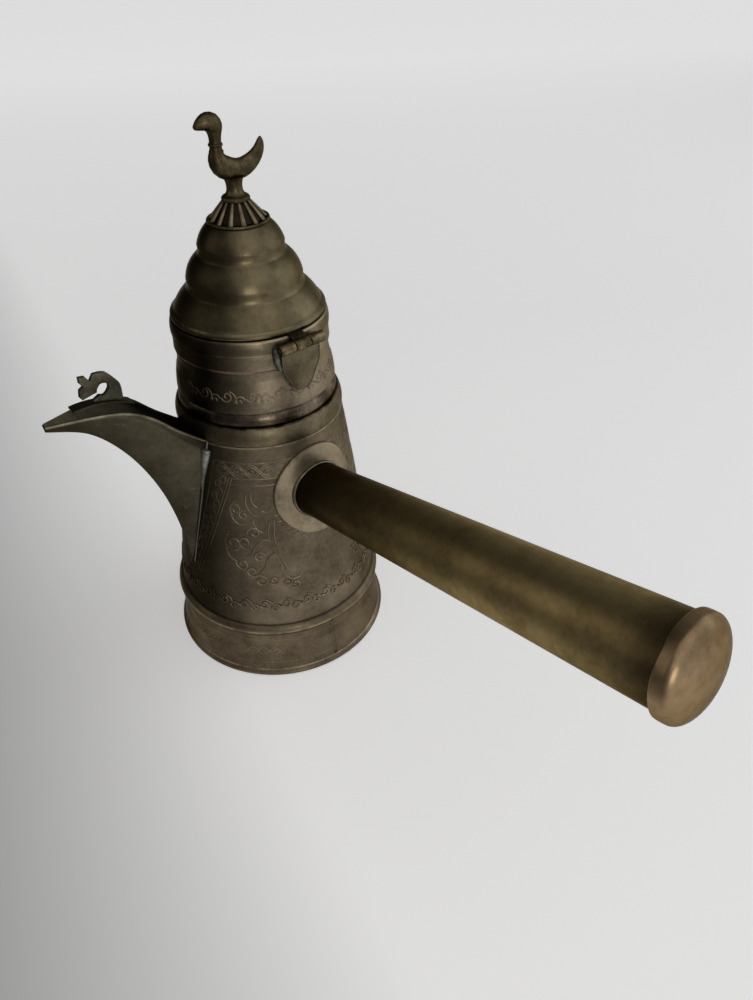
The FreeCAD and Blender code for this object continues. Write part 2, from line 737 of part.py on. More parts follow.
# Hinge on the lid: the middle knuckle, with a tab that turns onto the flange
middle = cylinder("middle_knuckle", size("knuckle_radius"), size("middle_knuckle"))
place(middle, size("middle_knuckle") / -2, hinge_along, hinge_height, ALONG_X)
tab_top = flange_top + size("tab_thickness")
riser = block("tab_riser", size("middle_knuckle"), size("tab_thickness"), tab_top - hinge_height)
place(riser, size("middle_knuckle") / -2, hinge_along - size("tab_thickness") / 2, hinge_height)
tab_run = hinge_reach + size("tab_thickness") / 2 - tier_one_low - gap
tab = block("tab_flat", size("middle_knuckle"), tab_run, size("tab_thickness"))
place(tab, size("middle_knuckle") / -2, hinge_along - size("tab_thickness") / 2, flange_top)
lid_bore = cylinder("lid_pin_bore", size("pin_radius") + size("pin_gap"), size("barrel_length"))
place(lid_bore, half_barrel * -1, hinge_along, hinge_height, ALONG_X)
nodes["hinge_lid_leaf"] = cut("hinge_lid_leaf", joined("lid_leaf_blank", [middle, riser, tab]), lid_bore)

# Finial: fluted calyx on the lid, stem through both, washer inside, bird on top
RIBS = 13
calyx_radius = lid_top_radius.value + number("calyx_overhang")
calyx_top_radius = number("calyx_top_radius")
calyx_height = number("calyx_height")
calyx = Part.makeCone(calyx_radius - number("calyx_rib_radius"), calyx_top_radius, calyx_height)
rib_low = Vector(calyx_radius - number("calyx_rib_radius"), 0, 0)
rib_high = Vector(calyx_top_radius, 0, calyx_height)
rib = Part.makeCone(number("calyx_rib_radius"), number("calyx_rib_radius") * 0.5, (rib_high - rib_low).Length,
                    rib_low, rib_high - rib_low)
ribs = []
for index in range(RIBS):
    turned_rib = rib.copy()
    turned_rib.rotate(Vector(), Vector(0, 0, 1), 360 * index / RIBS)
    ribs.append(turned_rib)
calyx_slab = Part.makeCylinder(2 * calyx_radius, calyx_height)
calyx_lip = Part.makeCylinder(calyx_radius, number("calyx_lip_height"))
calyx = calyx.fuse(ribs + [calyx_lip]).common(calyx_slab)
calyx = calyx.cut(Part.makeCylinder(bore.value, calyx_height)).removeSplitter()
nodes["finial_calyx"] = shaped("finial_calyx", calyx.Solids[0])
nodes["finial_calyx"].Placement = FreeCAD.Placement(Vector(0, 0, lid_top.value), FreeCAD.Rotation())
calyx_top = lid_top + size("calyx_height")
stem_top = calyx_top + size("stem_flange_height") + size("stem_height")
shank_end = lid_top - lid_wall - size("washer_thickness") - size("shank_tail")
nodes["finial_stem"] = turned("finial_stem", [
    (size("shank_radius"), shank_end),
    (size("shank_radius"), calyx_top),
    (size("stem_flange_radius"), calyx_top),
    (size("stem_flange_radius"), calyx_top + size("stem_flange_height")),
    (size("stem_radius"), calyx_top + size("stem_flange_height")),
    (size("stem_radius"), stem_top),
    (as_size(0), stem_top),
    (as_size(0), shank_end),
])
nodes["finial_washer"] = turned("finial_washer", [
    (size("washer_radius"), lid_top - lid_wall - size("washer_thickness")),
    (size("washer_radius"), lid_top - lid_wall),
    (bore, lid_top - lid_wall),
    (bore, lid_top - lid_wall - size("washer_thickness")),
])

# Bird: a flat-sided casting, its outline read from the breast round the head to the tail
BIRD_OUTLINE = [(3.0, 0.0), (7.0, 1.6), (9.2, 4.8), (9.0, 8.4), (7.6, 11.4), (7.9, 15.4), (10.2, 17.6),
                (13.0, 19.3), (11.0, 21.5), (7.3, 22.7), (4.0, 21.6), (2.6, 18.4), (3.2, 13.4), (2.4, 9.8),
                (-1.2, 6.7), (-6.8, 7.3), (-10.4, 10.2), (-12.6, 12.4), (-13.9, 8.6), (-11.4, 3.6), (-6.6, 0.9),
                (-3.0, 0.0)]
bird_scale = number("bird_height") / max(up for ahead, up in BIRD_OUTLINE)
bird_half = Vector(0, number("bird_thickness") / 2, 0)
bird_foot = Vector(0, 0, stem_top.value) - bird_half
bird_points = [bird_foot + Vector(-ahead, 0, up) * bird_scale for ahead, up in BIRD_OUTLINE]
bird_edge = Part.Wire([through(bird_points), Part.makeLine(bird_points[-1], bird_points[0])])
nodes["finial_bird"] = shaped("finial_bird", Part.Face(bird_edge).extrude(bird_half * 2))

doc.recompute()
failed = [item.Name for item in doc.Objects if "Invalid" in item.State or "Error" in item.State]
if failed:
    raise RuntimeError(f"objects that failed: {failed}")
for name, node in nodes.items():
    node.Label = name
    if node.Shape.isNull() or not node.Shape.isValid():
        raise RuntimeError(f"{name} has no valid shape")
for name, node in nodes.items():
    node.Shape.exportStep(f"parts/{name}.step")
    box = node.Shape.BoundBox
    print(f"{name}: {len(node.Shape.Solids)} solid, {node.Shape.Volume:.0f} mm3, "
          f"z {box.ZMin:.1f} to {box.ZMax:.1f}, y {box.YMin:.1f} to {box.YMax:.1f}")
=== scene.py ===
import bmesh
import bpy
import math
from mathutils import Matrix, Vector


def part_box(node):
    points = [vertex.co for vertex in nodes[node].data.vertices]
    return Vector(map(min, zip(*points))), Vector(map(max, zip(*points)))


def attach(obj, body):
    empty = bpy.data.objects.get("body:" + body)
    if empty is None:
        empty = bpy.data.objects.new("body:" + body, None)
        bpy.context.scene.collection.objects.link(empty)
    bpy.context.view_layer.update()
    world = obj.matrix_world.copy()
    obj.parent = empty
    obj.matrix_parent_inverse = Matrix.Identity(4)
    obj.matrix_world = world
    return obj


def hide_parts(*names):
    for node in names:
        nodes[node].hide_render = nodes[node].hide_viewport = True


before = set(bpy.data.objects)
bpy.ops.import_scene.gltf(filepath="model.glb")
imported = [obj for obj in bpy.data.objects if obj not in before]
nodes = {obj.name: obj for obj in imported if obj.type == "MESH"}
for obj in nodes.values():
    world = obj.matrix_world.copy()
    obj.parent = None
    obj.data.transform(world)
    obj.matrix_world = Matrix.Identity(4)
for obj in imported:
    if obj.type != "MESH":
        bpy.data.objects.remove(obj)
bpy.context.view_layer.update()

# Base rim: a folded brass ring round the bottom, hammered to a soft bead.
# The bottom disc is hooked under it, and the foot stands on it.
MM = 0.001
AROUND = 192


def bowed(start, end, bulge, parts):
    """Points on an arc from start towards end that stands out by bulge, end left off."""
    run = Vector(end) - Vector(start)
    outward = Vector((run.y, -run.x)).normalized()
    points = []
    for index in range(parts):
        share = index / parts
        middle = Vector(start) + run * share + outward * bulge * 4 * share * (1 - share)
        points.append((middle.x, middle.y))
    return points


def finished(name, shell, sharp_degrees=38):
    """The bmesh as a smooth-shaded object at the origin."""
    bmesh.ops.remove_doubles(shell, verts=shell.verts, dist=1e-6)
    bmesh.ops.recalc_face_normals(shell, faces=shell.faces)
    mesh = bpy.data.meshes.new(name)
    shell.to_mesh(mesh)
    shell.free()
    mesh.shade_smooth()
    mesh.set_sharp_from_angle(angle=math.radians(sharp_degrees))
    piece = bpy.data.objects.new(name, mesh)
    bpy.context.scene.collection.objects.link(piece)
    return piece


def turned_form(section, steps=AROUND):
    """A bmesh spun about Z from a closed half section of (radius, height)."""
    shell = bmesh.new()
    points = [shell.verts.new((radius, 0, height)) for radius, height in section]
    sides = [shell.edges.new((here, there)) for here, there in zip(points, points[1:] + points[:1])]
    bmesh.ops.spin(shell, geom=points + sides, cent=(0, 0, 0), axis=(0, 0, 1), dvec=(0, 0, 0),
                   angle=math.tau, steps=steps, use_merge=True)
    return shell


def noise(tree, coordinates, scale, detail, stretch=(1, 1, 1)):
    """The grey value of a noise laid over the object, drawn out along the axes with a small stretch."""
    drawn = tree.nodes.new("ShaderNodeMapping")
    drawn.inputs["Scale"].default_value = stretch
    tree.links.new(coordinates, drawn.inputs["Vector"])
    cloud = tree.nodes.new("ShaderNodeTexNoise")
    cloud.inputs["Scale"].default_value = scale
    cloud.inputs["Detail"].default_value = detail
    cloud.inputs["Roughness"].default_value = 0.62
    tree.links.new(drawn.outputs["Vector"], cloud.inputs["Vector"])
    return cloud.outputs["Fac"]


def sums(tree, kind, *values):
    """The result of a math node fed with sockets or plain numbers."""
    step = tree.nodes.new("ShaderNodeMath")
    step.operation = kind
    for socket, value in zip(step.inputs, values):
        if isinstance(value, (int, float)):
            socket.default_value = value
        else:
            tree.links.new(value, socket)
    return step.outputs[0]


def ramped(tree, value, low, high, to_low=0.0, to_high=1.0):
    """A value spread evenly from low and high to a new pair of ends, and held there."""
    spread = tree.nodes.new("ShaderNodeMapRange")
    tree.links.new(value, spread.inputs["Value"])
    for name, amount in (("From Min", low), ("From Max", high), ("To Min", to_low), ("To Max", to_high)):
        spread.inputs[name].default_value = amount
    return spread.outputs["Result"]


def tinted(finish, share, colour):
    """Lays a colour over a finish, where and as strongly as the share socket says."""
    tree = finish.node_tree
    base = tree.nodes["Principled BSDF"].inputs["Base Color"]
    layer = tree.nodes.new("ShaderNodeMixRGB")
    tree.links.new(base.links[0].from_socket, layer.inputs["Color1"])
    layer.inputs["Color2"].default_value = (*colour, 1)
    tree.links.new(share, layer.inputs["Fac"])
    tree.links.new(layer.outputs["Color"], base)


def placed(finish):
    """The object coordinates of a finish, whole and as separate X, Y and Z."""
    tree = finish.node_tree
    whole = tree.nodes["Texture Coordinate"].outputs["Object"]
    parts = tree.nodes.new("ShaderNodeSeparateXYZ")
    tree.links.new(whole, parts.inputs["Vector"])
    return tree, whole, parts.outputs


def patina(name, dark, mid, bright, roughness=0.4, turning=0.0, blotch=60.0, relief=0.1):
    """Aged metal: blotched tarnish, fine specks and scratches and, on lathe work, faint turning lines."""
    finish = bpy.data.materials.new(name)
    finish.use_nodes = True
    tree = finish.node_tree
    shader = tree.nodes["Principled BSDF"]
    shader.inputs["Metallic"].default_value = 1.0
    shader.inputs["Specular Tint"].default_value = (0.5, 0.47, 0.42, 1)
    whole = tree.nodes.new("ShaderNodeTexCoord").outputs["Object"]
    cloud = noise(tree, whole, blotch, 8.0)
    specks = noise(tree, whole, blotch * 13, 3.0)
    mottle = sums(tree, "MULTIPLY_ADD", specks, 0.3, cloud)
    tones = tree.nodes.new("ShaderNodeValToRGB")
    ramp = tones.color_ramp
    ramp.elements[0].position = 0.47
    ramp.elements[0].color = (*dark, 1)
    ramp.elements[1].position = 0.86
    ramp.elements[1].color = (*bright, 1)
    ramp.elements.new(0.66).color = (*mid, 1)
    tree.links.new(mottle, tones.inputs["Fac"])
    tree.links.new(tones.outputs["Color"], shader.inputs["Base Color"])
    dulled = ramped(tree, mottle, 0.4, 0.9, roughness + 0.1, roughness - 0.06)
    tree.links.new(dulled, shader.inputs["Roughness"])
    grain = noise(tree, whole, 800.0, 4.0, (0.12, 0.12, 1) if turning else (1, 1, 1))
    tinted(finish, ramped(tree, grain, 0.58, 0.8, 0.0, 0.35 + turning), bright)
    bump = tree.nodes.new("ShaderNodeBump")
    bump.inputs["Strength"].default_value = relief + turning
    bump.inputs["Distance"].default_value = 0.0002
    tree.links.new(grain, bump.inputs["Height"])
    tree.links.new(bump.outputs["Normal"], shader.inputs["Normal"])
    return finish


def rubbed_and_shaded(finish, colour, *edges):
    """Lays a colour over a finish in broken lines at the given (height, half width): bare metal for wear,
    near-black for painted shade in grooves.
    """
    tree, whole, (across, along, up) = placed(finish)
    line_breaks = ramped(tree, noise(tree, whole, 140.0, 5.0), 0.4, 0.6, 0.15, 1.0)
    for height, half in edges:
        away = sums(tree, "ABSOLUTE", sums(tree, "SUBTRACT", up, height))
        tinted(finish, sums(tree, "MULTIPLY", line_breaks, ramped(tree, away, half * 0.4, half, 1.0, 0.0)), colour)


def dressed(piece, finish, body, slot, *replaced):
    """Gives a new piece its finish, hangs it on the empty of the body it rides on and hides the CAD parts it
    stands for.
    """
    piece.data.materials.clear()
    piece.data.materials.append(finish)
    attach(piece, body)
    if replaced:
        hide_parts(*replaced)
    return piece


def coated(finish, *names):
    """Puts a finish on CAD nodes that are shown as they are."""
    for name in names:
        slots = nodes[name].data.materials
        slots.clear()
        slots.append(finish)


BARE_BRASS = (0.36, 0.29, 0.175)
rim_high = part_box("base_rim")[1]
rim_radius = rim_high.x
rim_height = rim_high.z
foot_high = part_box("foot_band")[1]
foot_brass = patina("foot_brass", (0.084, 0.065, 0.043), (0.15, 0.116, 0.077), (0.221, 0.173, 0.115),
                    roughness=0.42, turning=0.08)
rubbed_and_shaded(foot_brass, BARE_BRASS, (rim_height, 0.5 * MM), (foot_high.z - 3.2 * MM, 0.9 * MM))
rim_section = [(rim_radius - 5 * MM, rim_height - 0.5 * MM), (rim_radius - 5 * MM, 0.0)]
rim_section += bowed((rim_radius - 0.9 * MM, 0.0), (rim_radius - 0.8 * MM, rim_height - 0.5 * MM),
                     0.8 * MM, 10)
rim_section += [(rim_radius - 1.2 * MM, rim_height - 0.4 * MM), (rim_radius - 1.6 * MM, rim_height),
                (rim_radius - 4 * MM, rim_height)]
base_ring = finished("base_ring", turned_form(rim_section))
dressed(base_ring, foot_brass, "pot", "aged_brass", "base_rim")
coated(foot_brass, "base_disc")

# Foot band: a strip of sheet closed with a lap seam under the handle, its top rolled out to a bead.
# The cone of the body is soldered into the bead.
foot_low_radius = rim_radius - 1.6 * MM
foot_waist_radius = foot_low_radius - 1.8 * MM
body_low_radius = foot_waist_radius - 0.6 * MM
bead_start = foot_high.z - 6.0 * MM
sheet = 1.2 * MM
FOOT_HOLLOW = 0.2 * MM
foot_outer = bowed((foot_low_radius, rim_height), (foot_waist_radius, bead_start), -FOOT_HOLLOW, 12)
foot_outer += [(foot_waist_radius - 0.25 * MM, bead_start)]
foot_outer += bowed((foot_waist_radius, bead_start + 0.2 * MM), (body_low_radius + 0.2 * MM, foot_high.z),
                    1.4 * MM, 14)
foot_outer.append((body_low_radius, foot_high.z))
foot_section = foot_outer + [(body_low_radius - sheet, foot_high.z), (foot_waist_radius - sheet, bead_start),
                             (foot_low_radius - sheet, rim_height)]
foot_ring = finished("foot_ring", turned_form(foot_section))
dressed(foot_ring, foot_brass, "pot", "aged_brass", "foot_band")


def foot_radius(height):
    """Radius of the plain part of the foot at a height."""
    share = (height - rim_height) / (bead_start - rim_height)
    hollow = FOOT_HOLLOW * 4 * share * (1 - share)
    return foot_low_radius + (foot_waist_radius - foot_low_radius) * share - hollow


def around(degrees, radius, height):
    """A point at an angle that is counted from the spout towards the handle."""
    turn = math.radians(degrees)
    return Vector((-radius * math.cos(turn), -radius * math.sin(turn), height))


def bridged(shell, lines, rings=False):
    """Faces between each line of points and the next, the lines being open or closed to rings."""
    loops = []
    for points in lines:
        line = [shell.verts.new(point) for point in points]
        ends = line[1:] + line[:1] if rings else line[1:]
        loops.append([shell.edges.new((here, there)) for here, there in zip(line, ends)])
    for near, far in zip(loops, loops[1:]):
        bmesh.ops.bridge_loops(shell, edges=near + far)
    return loops


seam_brass = patina("seam_brass", (0.084, 0.067, 0.045), (0.15, 0.12, 0.081), (0.222, 0.178, 0.12),
                    roughness=0.46)
SEAM_DEGREES = (84.2, 86.2)
SEAM_PROUD = -0.06 * MM
SEAM_STEPS = 8
seam_heights = [rim_height + (bead_start - rim_height) * step / SEAM_STEPS for step in range(SEAM_STEPS + 1)]
lap = bmesh.new()
bridged(lap, [[around(degrees, foot_radius(height) + SEAM_PROUD, height) for height in seam_heights]
              for degrees in SEAM_DEGREES])
strip = finished("foot_seam", lap)
depth = strip.modifiers.new("lap", "SOLIDIFY")
depth.thickness = 0.2 * MM
depth.offset = 0.0
dressed(strip, seam_brass, "pot", "aged_brass")

# Body cone: sheet brass hammered over a stake and dark with age, blackest beside the spout, where soot is
# deepened by painted shade.
# It is shown as the CAD has it, with the strainer holes behind the spout.
# near-black laid on as soot and as painted shade: on the spout side, in grooves, between the calyx flutes and
# towards the handle's root
SOOT_AND_SHADE_BLACK = (0.01, 0.008, 0.006)


def darkened_with_soot_and_shade(finish, start, full, share):
    """Blackens a finish on the side of the spout, between two angles from the spout in degrees: soot, and
    painted shade of that side.
    """
    tree, whole, (across, along, up) = placed(finish)
    flat = sums(tree, "ADD", sums(tree, "MULTIPLY", across, across), sums(tree, "MULTIPLY", along, along))
    facing_away = sums(tree, "DIVIDE", across, sums(tree, "SQRT", flat))
    clean, black = (-math.cos(math.radians(angle)) for angle in (start, full))
    tinted(finish, ramped(tree, facing_away, clean, black, 0.0, share), SOOT_AND_SHADE_BLACK)


body_base, body_top = (corner.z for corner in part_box("body_shell"))
body_high_radius = 34.4 * MM
body_brass = patina("body_brass", (0.098, 0.078, 0.052), (0.175, 0.139, 0.094), (0.258, 0.207, 0.14),
                    roughness=0.44, blotch=42.0, turning=0.06)
# soot and painted shade on the spout side
darkened_with_soot_and_shade(body_brass, 42, 16, 0.85)
rubbed_and_shaded(body_brass, BARE_BRASS, (body_top - 0.5 * MM, 0.5 * MM))
coated(body_brass, "body_shell")


def body_radius(height):
    """Radius of the cone at a height."""
    share = (height - body_base) / (body_top - body_base)
    return body_low_radius + (body_high_radius - body_low_radius) * share


# Shoulder: a broad roll of dull brass, and above it a narrow bead where the polish
# of years has worn through the patina to a coppery pink.
roll_brass = patina("roll_brass", (0.08, 0.063, 0.039), (0.155, 0.124, 0.078), (0.24, 0.195, 0.122),
                    roughness=0.4, turning=0.1)
roll_low, roll_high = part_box("shoulder_roll")
groove_radius = body_high_radius - 1.2 * MM
# soot and painted shade on the spout side
darkened_with_soot_and_shade(roll_brass, 62, 25, 0.55)
# near-black lines along the top and foot of the roll: painted shade in the grooves
rubbed_and_shaded(roll_brass, SOOT_AND_SHADE_BLACK, (roll_high.z, 0.8 * MM), (roll_low.z, 0.5 * MM))
roll_section = bowed((body_high_radius + 0.1 * MM, roll_low.z), (groove_radius, roll_high.z), 0.75 * MM, 20)
roll_section += [(groove_radius, roll_high.z), (groove_radius - 3 * MM, roll_high.z),
                 (groove_radius - 3 * MM, roll_low.z)]
shoulder_ring = finished("shoulder_ring", turned_form(roll_section))
dressed(shoulder_ring, roll_brass, "pot", "aged_brass", "shoulder_roll")
bead_low, bead_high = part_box("shoulder_bead")
copper_wear = patina("copper_wear", (0.026, 0.02, 0.014), (0.078, 0.06, 0.043), (0.22, 0.165, 0.122),
                     roughness=0.3, turning=0.1, blotch=110.0)
# soot and painted shade on the spout side
darkened_with_soot_and_shade(copper_wear, 62, 25, 0.3)
# near-black lines along the foot and top of the bead: painted shade in the grooves
rubbed_and_shaded(copper_wear, SOOT_AND_SHADE_BLACK, (bead_low.z, 0.5 * MM), (bead_high.z, 0.9 * MM))
neck_low_radius = groove_radius - 1.0 * MM
bead_top_radius = groove_radius - 2.2 * MM
bead_section = bowed((groove_radius - 0.9 * MM, bead_low.z), (bead_top_radius, bead_high.z), 0.75 * MM, 18)
bead_section += [(bead_top_radius, bead_high.z), (bead_top_radius - sheet, bead_high.z),
                 (bead_top_radius - sheet, bead_low.z)]
bead_ring = finished("bead_ring", turned_form(bead_section))
dressed(bead_ring, copper_wear, "pot", "worn_copper", "shoulder_bead")

# Neck: a waisted band that steps out to a collar under the lip, and the lip itself,
# wired to a roll that the lid closes down onto. The steps are rubbed to bare copper and brass.
BARE_COPPER = (0.44, 0.27, 0.2)
neck_low, neck_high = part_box("neck_band")
lip_low, lip_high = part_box("neck_rim")
neck_waist_radius = neck_low_radius - 2.05 * MM
neck_top_radius = neck_waist_radius + 0.55 * MM
waist_height = neck_low.z + 13.2 * MM
bell_height = neck_low.z + 5.0 * MM
bell_radius = neck_low_radius - 0.45 * MM
collar_height = neck_high.z - 6.3 * MM
neck_brass = patina("neck_brass", (0.13, 0.105, 0.071), (0.235, 0.191, 0.13), (0.35, 0.287, 0.196),
                    roughness=0.4, turning=0.18, blotch=50.0)
# soot and painted shade on the spout side
darkened_with_soot_and_shade(neck_brass, 62, 25, 0.9)
rubbed_and_shaded(neck_brass, BARE_COPPER, (collar_height + 0.1 * MM, 0.7 * MM))
neck_outer = [(neck_low_radius - 0.7 * MM, neck_low.z), (neck_low_radius - 0.2 * MM, neck_low.z + 0.15 * MM)]
neck_outer += bowed((neck_low_radius, neck_low.z + 0.5 * MM), (bell_radius, bell_height), 0.1 * MM, 8)
neck_outer += bowed((bell_radius, bell_height), (neck_waist_radius, waist_height), -0.1 * MM, 14)
neck_outer += bowed((neck_waist_radius, waist_height), (neck_waist_radius + 0.2 * MM, collar_height),
                    0.05 * MM, 8)
neck_outer += bowed((neck_waist_radius + 0.35 * MM, collar_height),
                    (neck_top_radius + 0.05 * MM, collar_height + 0.7 * MM), 0.15 * MM, 4)
neck_outer += bowed((neck_top_radius + 0.05 * MM, collar_height + 0.7 * MM),
                    (neck_top_radius, neck_high.z - 0.3 * MM), -0.1 * MM, 8)
neck_outer += [(neck_top_radius - 0.3 * MM, neck_high.z - 0.1 * MM),
               (neck_top_radius - 0.3 * MM, neck_high.z)]
neck_line = [(neck_top_radius, neck_high.z), (neck_waist_radius, waist_height), (bell_radius, bell_height),
             (neck_low_radius, neck_low.z)]
neck_section = neck_outer + [(radius - sheet, height) for radius, height in neck_line]
neck_ring = finished("neck_ring", turned_form(neck_section))
dressed(neck_ring, neck_brass, "pot", "aged_brass", "neck_band")
lip_brass = patina("lip_brass", (0.08, 0.064, 0.04), (0.145, 0.117, 0.075), (0.23, 0.186, 0.118),
                   roughness=0.38, turning=0.12)
rubbed_and_shaded(lip_brass, BARE_BRASS, (lip_low.z + 0.3 * MM, 0.5 * MM), (lip_high.z + 0.6 * MM, 0.5 * MM))
# soot and painted shade on the spout side
darkened_with_soot_and_shade(lip_brass, 62, 25, 0.9)
lip_outer_radius = neck_top_radius + 0.3 * MM
lip_bore = lip_outer_radius - 1.8 * MM
lip_top = lip_high.z + 1.1 * MM
lip_turn = (lip_outer_radius - 0.75 * MM, lip_top - 0.3 * MM)
lip_section = bowed((lip_outer_radius - 0.15 * MM, lip_low.z), lip_turn, 0.35 * MM, 12)
lip_section += bowed(lip_turn, (lip_bore, lip_top), 0.2 * MM, 8)
lip_section += [(lip_bore, lip_top), (lip_bore, lip_low.z)]
lip_ring = finished("lip_ring", turned_form(lip_section))
dressed(lip_ring, lip_brass, "pot", "aged_brass", "neck_rim")

# Engraving: scrolls, leaves and interlaced bands cut with a graver on the body, foot and neck,
# as on traditional pots. The cuts show as fine lines with rubbed, brighter edges.
cut_brass = patina("cut_brass", (0.11, 0.089, 0.06), (0.2, 0.162, 0.11), (0.3, 0.245, 0.166), roughness=0.4,
                   blotch=90.0)
# soot and painted shade on the spout side
darkened_with_soot_and_shade(cut_brass, 34, 16, 0.8)
LINE_WIDTH = 0.46 * MM
LINE_SINK = 0.88


def eased(values, position):
    """A smooth curve through evenly spaced values."""
    last = len(values) - 1
    index = min(int(position), last - 1)
    share = position - index
    before, here, there, after = (values[max(0, min(last, index + step))] for step in (-1, 0, 1, 2))
    return here + 0.5 * share * (there - before + share * (2 * before - 5 * here + 4 * there - after
                                                          + share * (3 * (here - there) + after - before)))


def flowing(points, parts=8):
    """A smooth line through a few given points."""
    columns = list(zip(*points))
    return [tuple(eased(column, step / parts) for column in columns)
            for step in range(parts * (len(points) - 1) + 1)]


def wires(name, lines, thickness, finish, sides, body="pot"):
    """Fine round lines through lists of points, as one mesh."""
    drawing = bpy.data.curves.new(name, "CURVE")
    drawing.dimensions = "3D"
    drawing.bevel_depth = thickness
    drawing.bevel_resolution = sides
    drawing.use_fill_caps = True
    for points in lines:
        line = drawing.splines.new("POLY")
        line.points.add(len(points) - 1)
        for spot, point in zip(line.points, points):
            spot.co = (*point, 1)
    holder = bpy.data.objects.new(f"{name}_curve", drawing)
    bpy.context.scene.collection.objects.link(holder)
    bpy.context.view_layer.update()
    mesh = bpy.data.meshes.new_from_object(holder.evaluated_get(bpy.context.evaluated_depsgraph_get()))
    bpy.data.objects.remove(holder)
    piece = bpy.data.objects.new(name, mesh)
    bpy.context.scene.collection.objects.link(piece)
    return dressed(piece, finish, body, "aged_brass")


def engraved(name, strokes, radius_at):
    """Lines on a round surface, each a list of (degrees from spout to handle, height in millimetres)."""
    lines = [[around(degrees, radius_at(height * MM) - LINE_WIDTH * LINE_SINK, height * MM)
              for degrees, height in stroke] for stroke in strokes]
    wires(name, lines, LINE_WIDTH, cut_brass, 2)


def ring_line(height, start=0, end=360, steps=180):
    """A level line round the pot."""
    return [(start + (end - start) * index / steps, height) for index in range(steps + 1)]


def wave_line(height, swing, waves, shift, start=0, end=360, steps=480):
    """A wave round the pot that swings above and below a height."""
    return [(start + (end - start) * index / steps,
             height + swing * math.sin(waves * math.tau * index / steps + shift))
            for index in range(steps + 1)]


def curl(degrees, height, size, start, turns, radius, hand=1, steps=22):
    """A spiral scroll drawn on the surface, size being its outer radius, all in millimetres."""
    points = []
    for index in range(steps + 1):
        share = index / steps
        reach = size * (1 - 0.8 * share)
        angle = math.radians(start) + hand * turns * math.tau * share
        aside = math.degrees(reach * math.cos(angle) / radius)
        points.append((degrees + aside, height + reach * math.sin(angle)))
    return points


BAND_START = 24
BAND_END = 360 - BAND_START
BAND_MIDDLE = 107.3
body_strokes = [ring_line(height, BAND_START, BAND_END) for height in (110.8, 103.8, 100.9)]
for lift in (-0.55, 0.55):
    for shift in (0, math.pi):
        body_strokes.append(wave_line(BAND_MIDDLE + lift, 2.3, 16, shift, BAND_START, BAND_END))
EYES = 32
for index in range(EYES):
    eye = BAND_START + (BAND_END - BAND_START) * (index + 0.5) / EYES
    body_strokes.append(curl(eye, BAND_MIDDLE, 1.3, 90 * index, 0.8, 35.8))
LOW_SCROLLS = 30
for index in range(LOW_SCROLLS):
    spot = 360 * index / LOW_SCROLLS
    body_strokes.append(curl(spot, 41.6, 2.2, 200, 1.1, 44.5))
    body_strokes.append(curl(spot + 6, 39.4, 2.2, 20, 1.1, 44.5))
    body_strokes.append(flowing([(spot + 1.2, 44.0), (spot + 3.6, 43.0), (spot + 5.2, 41.0)], 5))
# one quarter of the body, from the spout to the handle: slanted border, scrolls and leaves
border = [flowing(ends, 12) for ends in ([(23.0, 110.8), (2.4, 59.0)], [(32.6, 103.6), (3.6, 50.0)],
                                          [(34.8, 103.6), (5.8, 50.0)])]
BORDER_CURLS = 8
for index in range(BORDER_CURLS):
    share = index / (BORDER_CURLS - 1)
    spot = 26.4 - 20.5 * share
    height = 101.5 - 41.5 * share
    border.append(curl(spot + 1.6, height + 1.4, 2.3, 210, 1.1, 38.5))
    border.append(curl(spot - 1.6, height - 1.6, 2.3, 30, 1.1, 38.5))
spirals = [(35.5, 89.6, 3.3, 250, 1.4, -1), (40.5, 87.0, 2.5, 60, 1.2, 1), (32.5, 72.6, 4.9, 100, 1.5, 1),
           (40.0, 73.6, 3.2, 300, 1.3, -1), (37.4, 62.6, 3.0, 160, 1.3, 1), (42.8, 59.0, 2.7, 330, 1.3, -1),
           (48.0, 66.4, 2.8, 30, 1.2, 1), (47.5, 54.2, 3.1, 120, 1.3, -1), (55.0, 54.4, 2.3, 220, 1.2, 1),
           (62.6, 52.6, 2.0, 20, 1.2, -1), (67.2, 51.0, 2.4, 150, 1.3, 1), (46.0, 78.6, 3.0, 180, 1.1, -1)]
quarter = border + [curl(spot, height, big, start, turns, 40.5, hand)
                    for spot, height, big, start, turns, hand in spirals]
quarter += [flowing(points) for points in (
    [(43.6, 98.0), (42.4, 93.0), (45.0, 88.4), (49.6, 86.6), (53.0, 87.0)],
    [(46.2, 98.2), (46.4, 93.6), (49.6, 91.0), (53.6, 92.4), (56.6, 96.4)],
    [(52.0, 89.0), (55.6, 88.6), (58.6, 90.4)],
    [(56.2, 84.4), (54.6, 78.0), (56.0, 71.0), (59.4, 64.4), (61.0, 60.0)],
    [(59.0, 85.0), (58.0, 78.0), (58.6, 70.6), (61.6, 63.6), (64.0, 59.6)],
    [(54.6, 81.0), (51.4, 79.0), (48.0, 80.8), (45.6, 84.4)],
    [(55.0, 74.6), (50.4, 75.0), (46.4, 72.0), (43.4, 68.0), (39.6, 66.4)],
    [(57.0, 68.6), (53.0, 66.0), (50.6, 61.0), (46.0, 57.4), (41.6, 55.8)],
    [(35.6, 94.2), (32.4, 90.4), (33.0, 85.4), (37.0, 82.6), (41.4, 83.0)],
    [(30.2, 79.0), (27.2, 72.6), (29.2, 66.0), (34.0, 63.4)],
    [(59.6, 61.6), (62.0, 56.6), (66.0, 54.0), (70.4, 54.6)])]
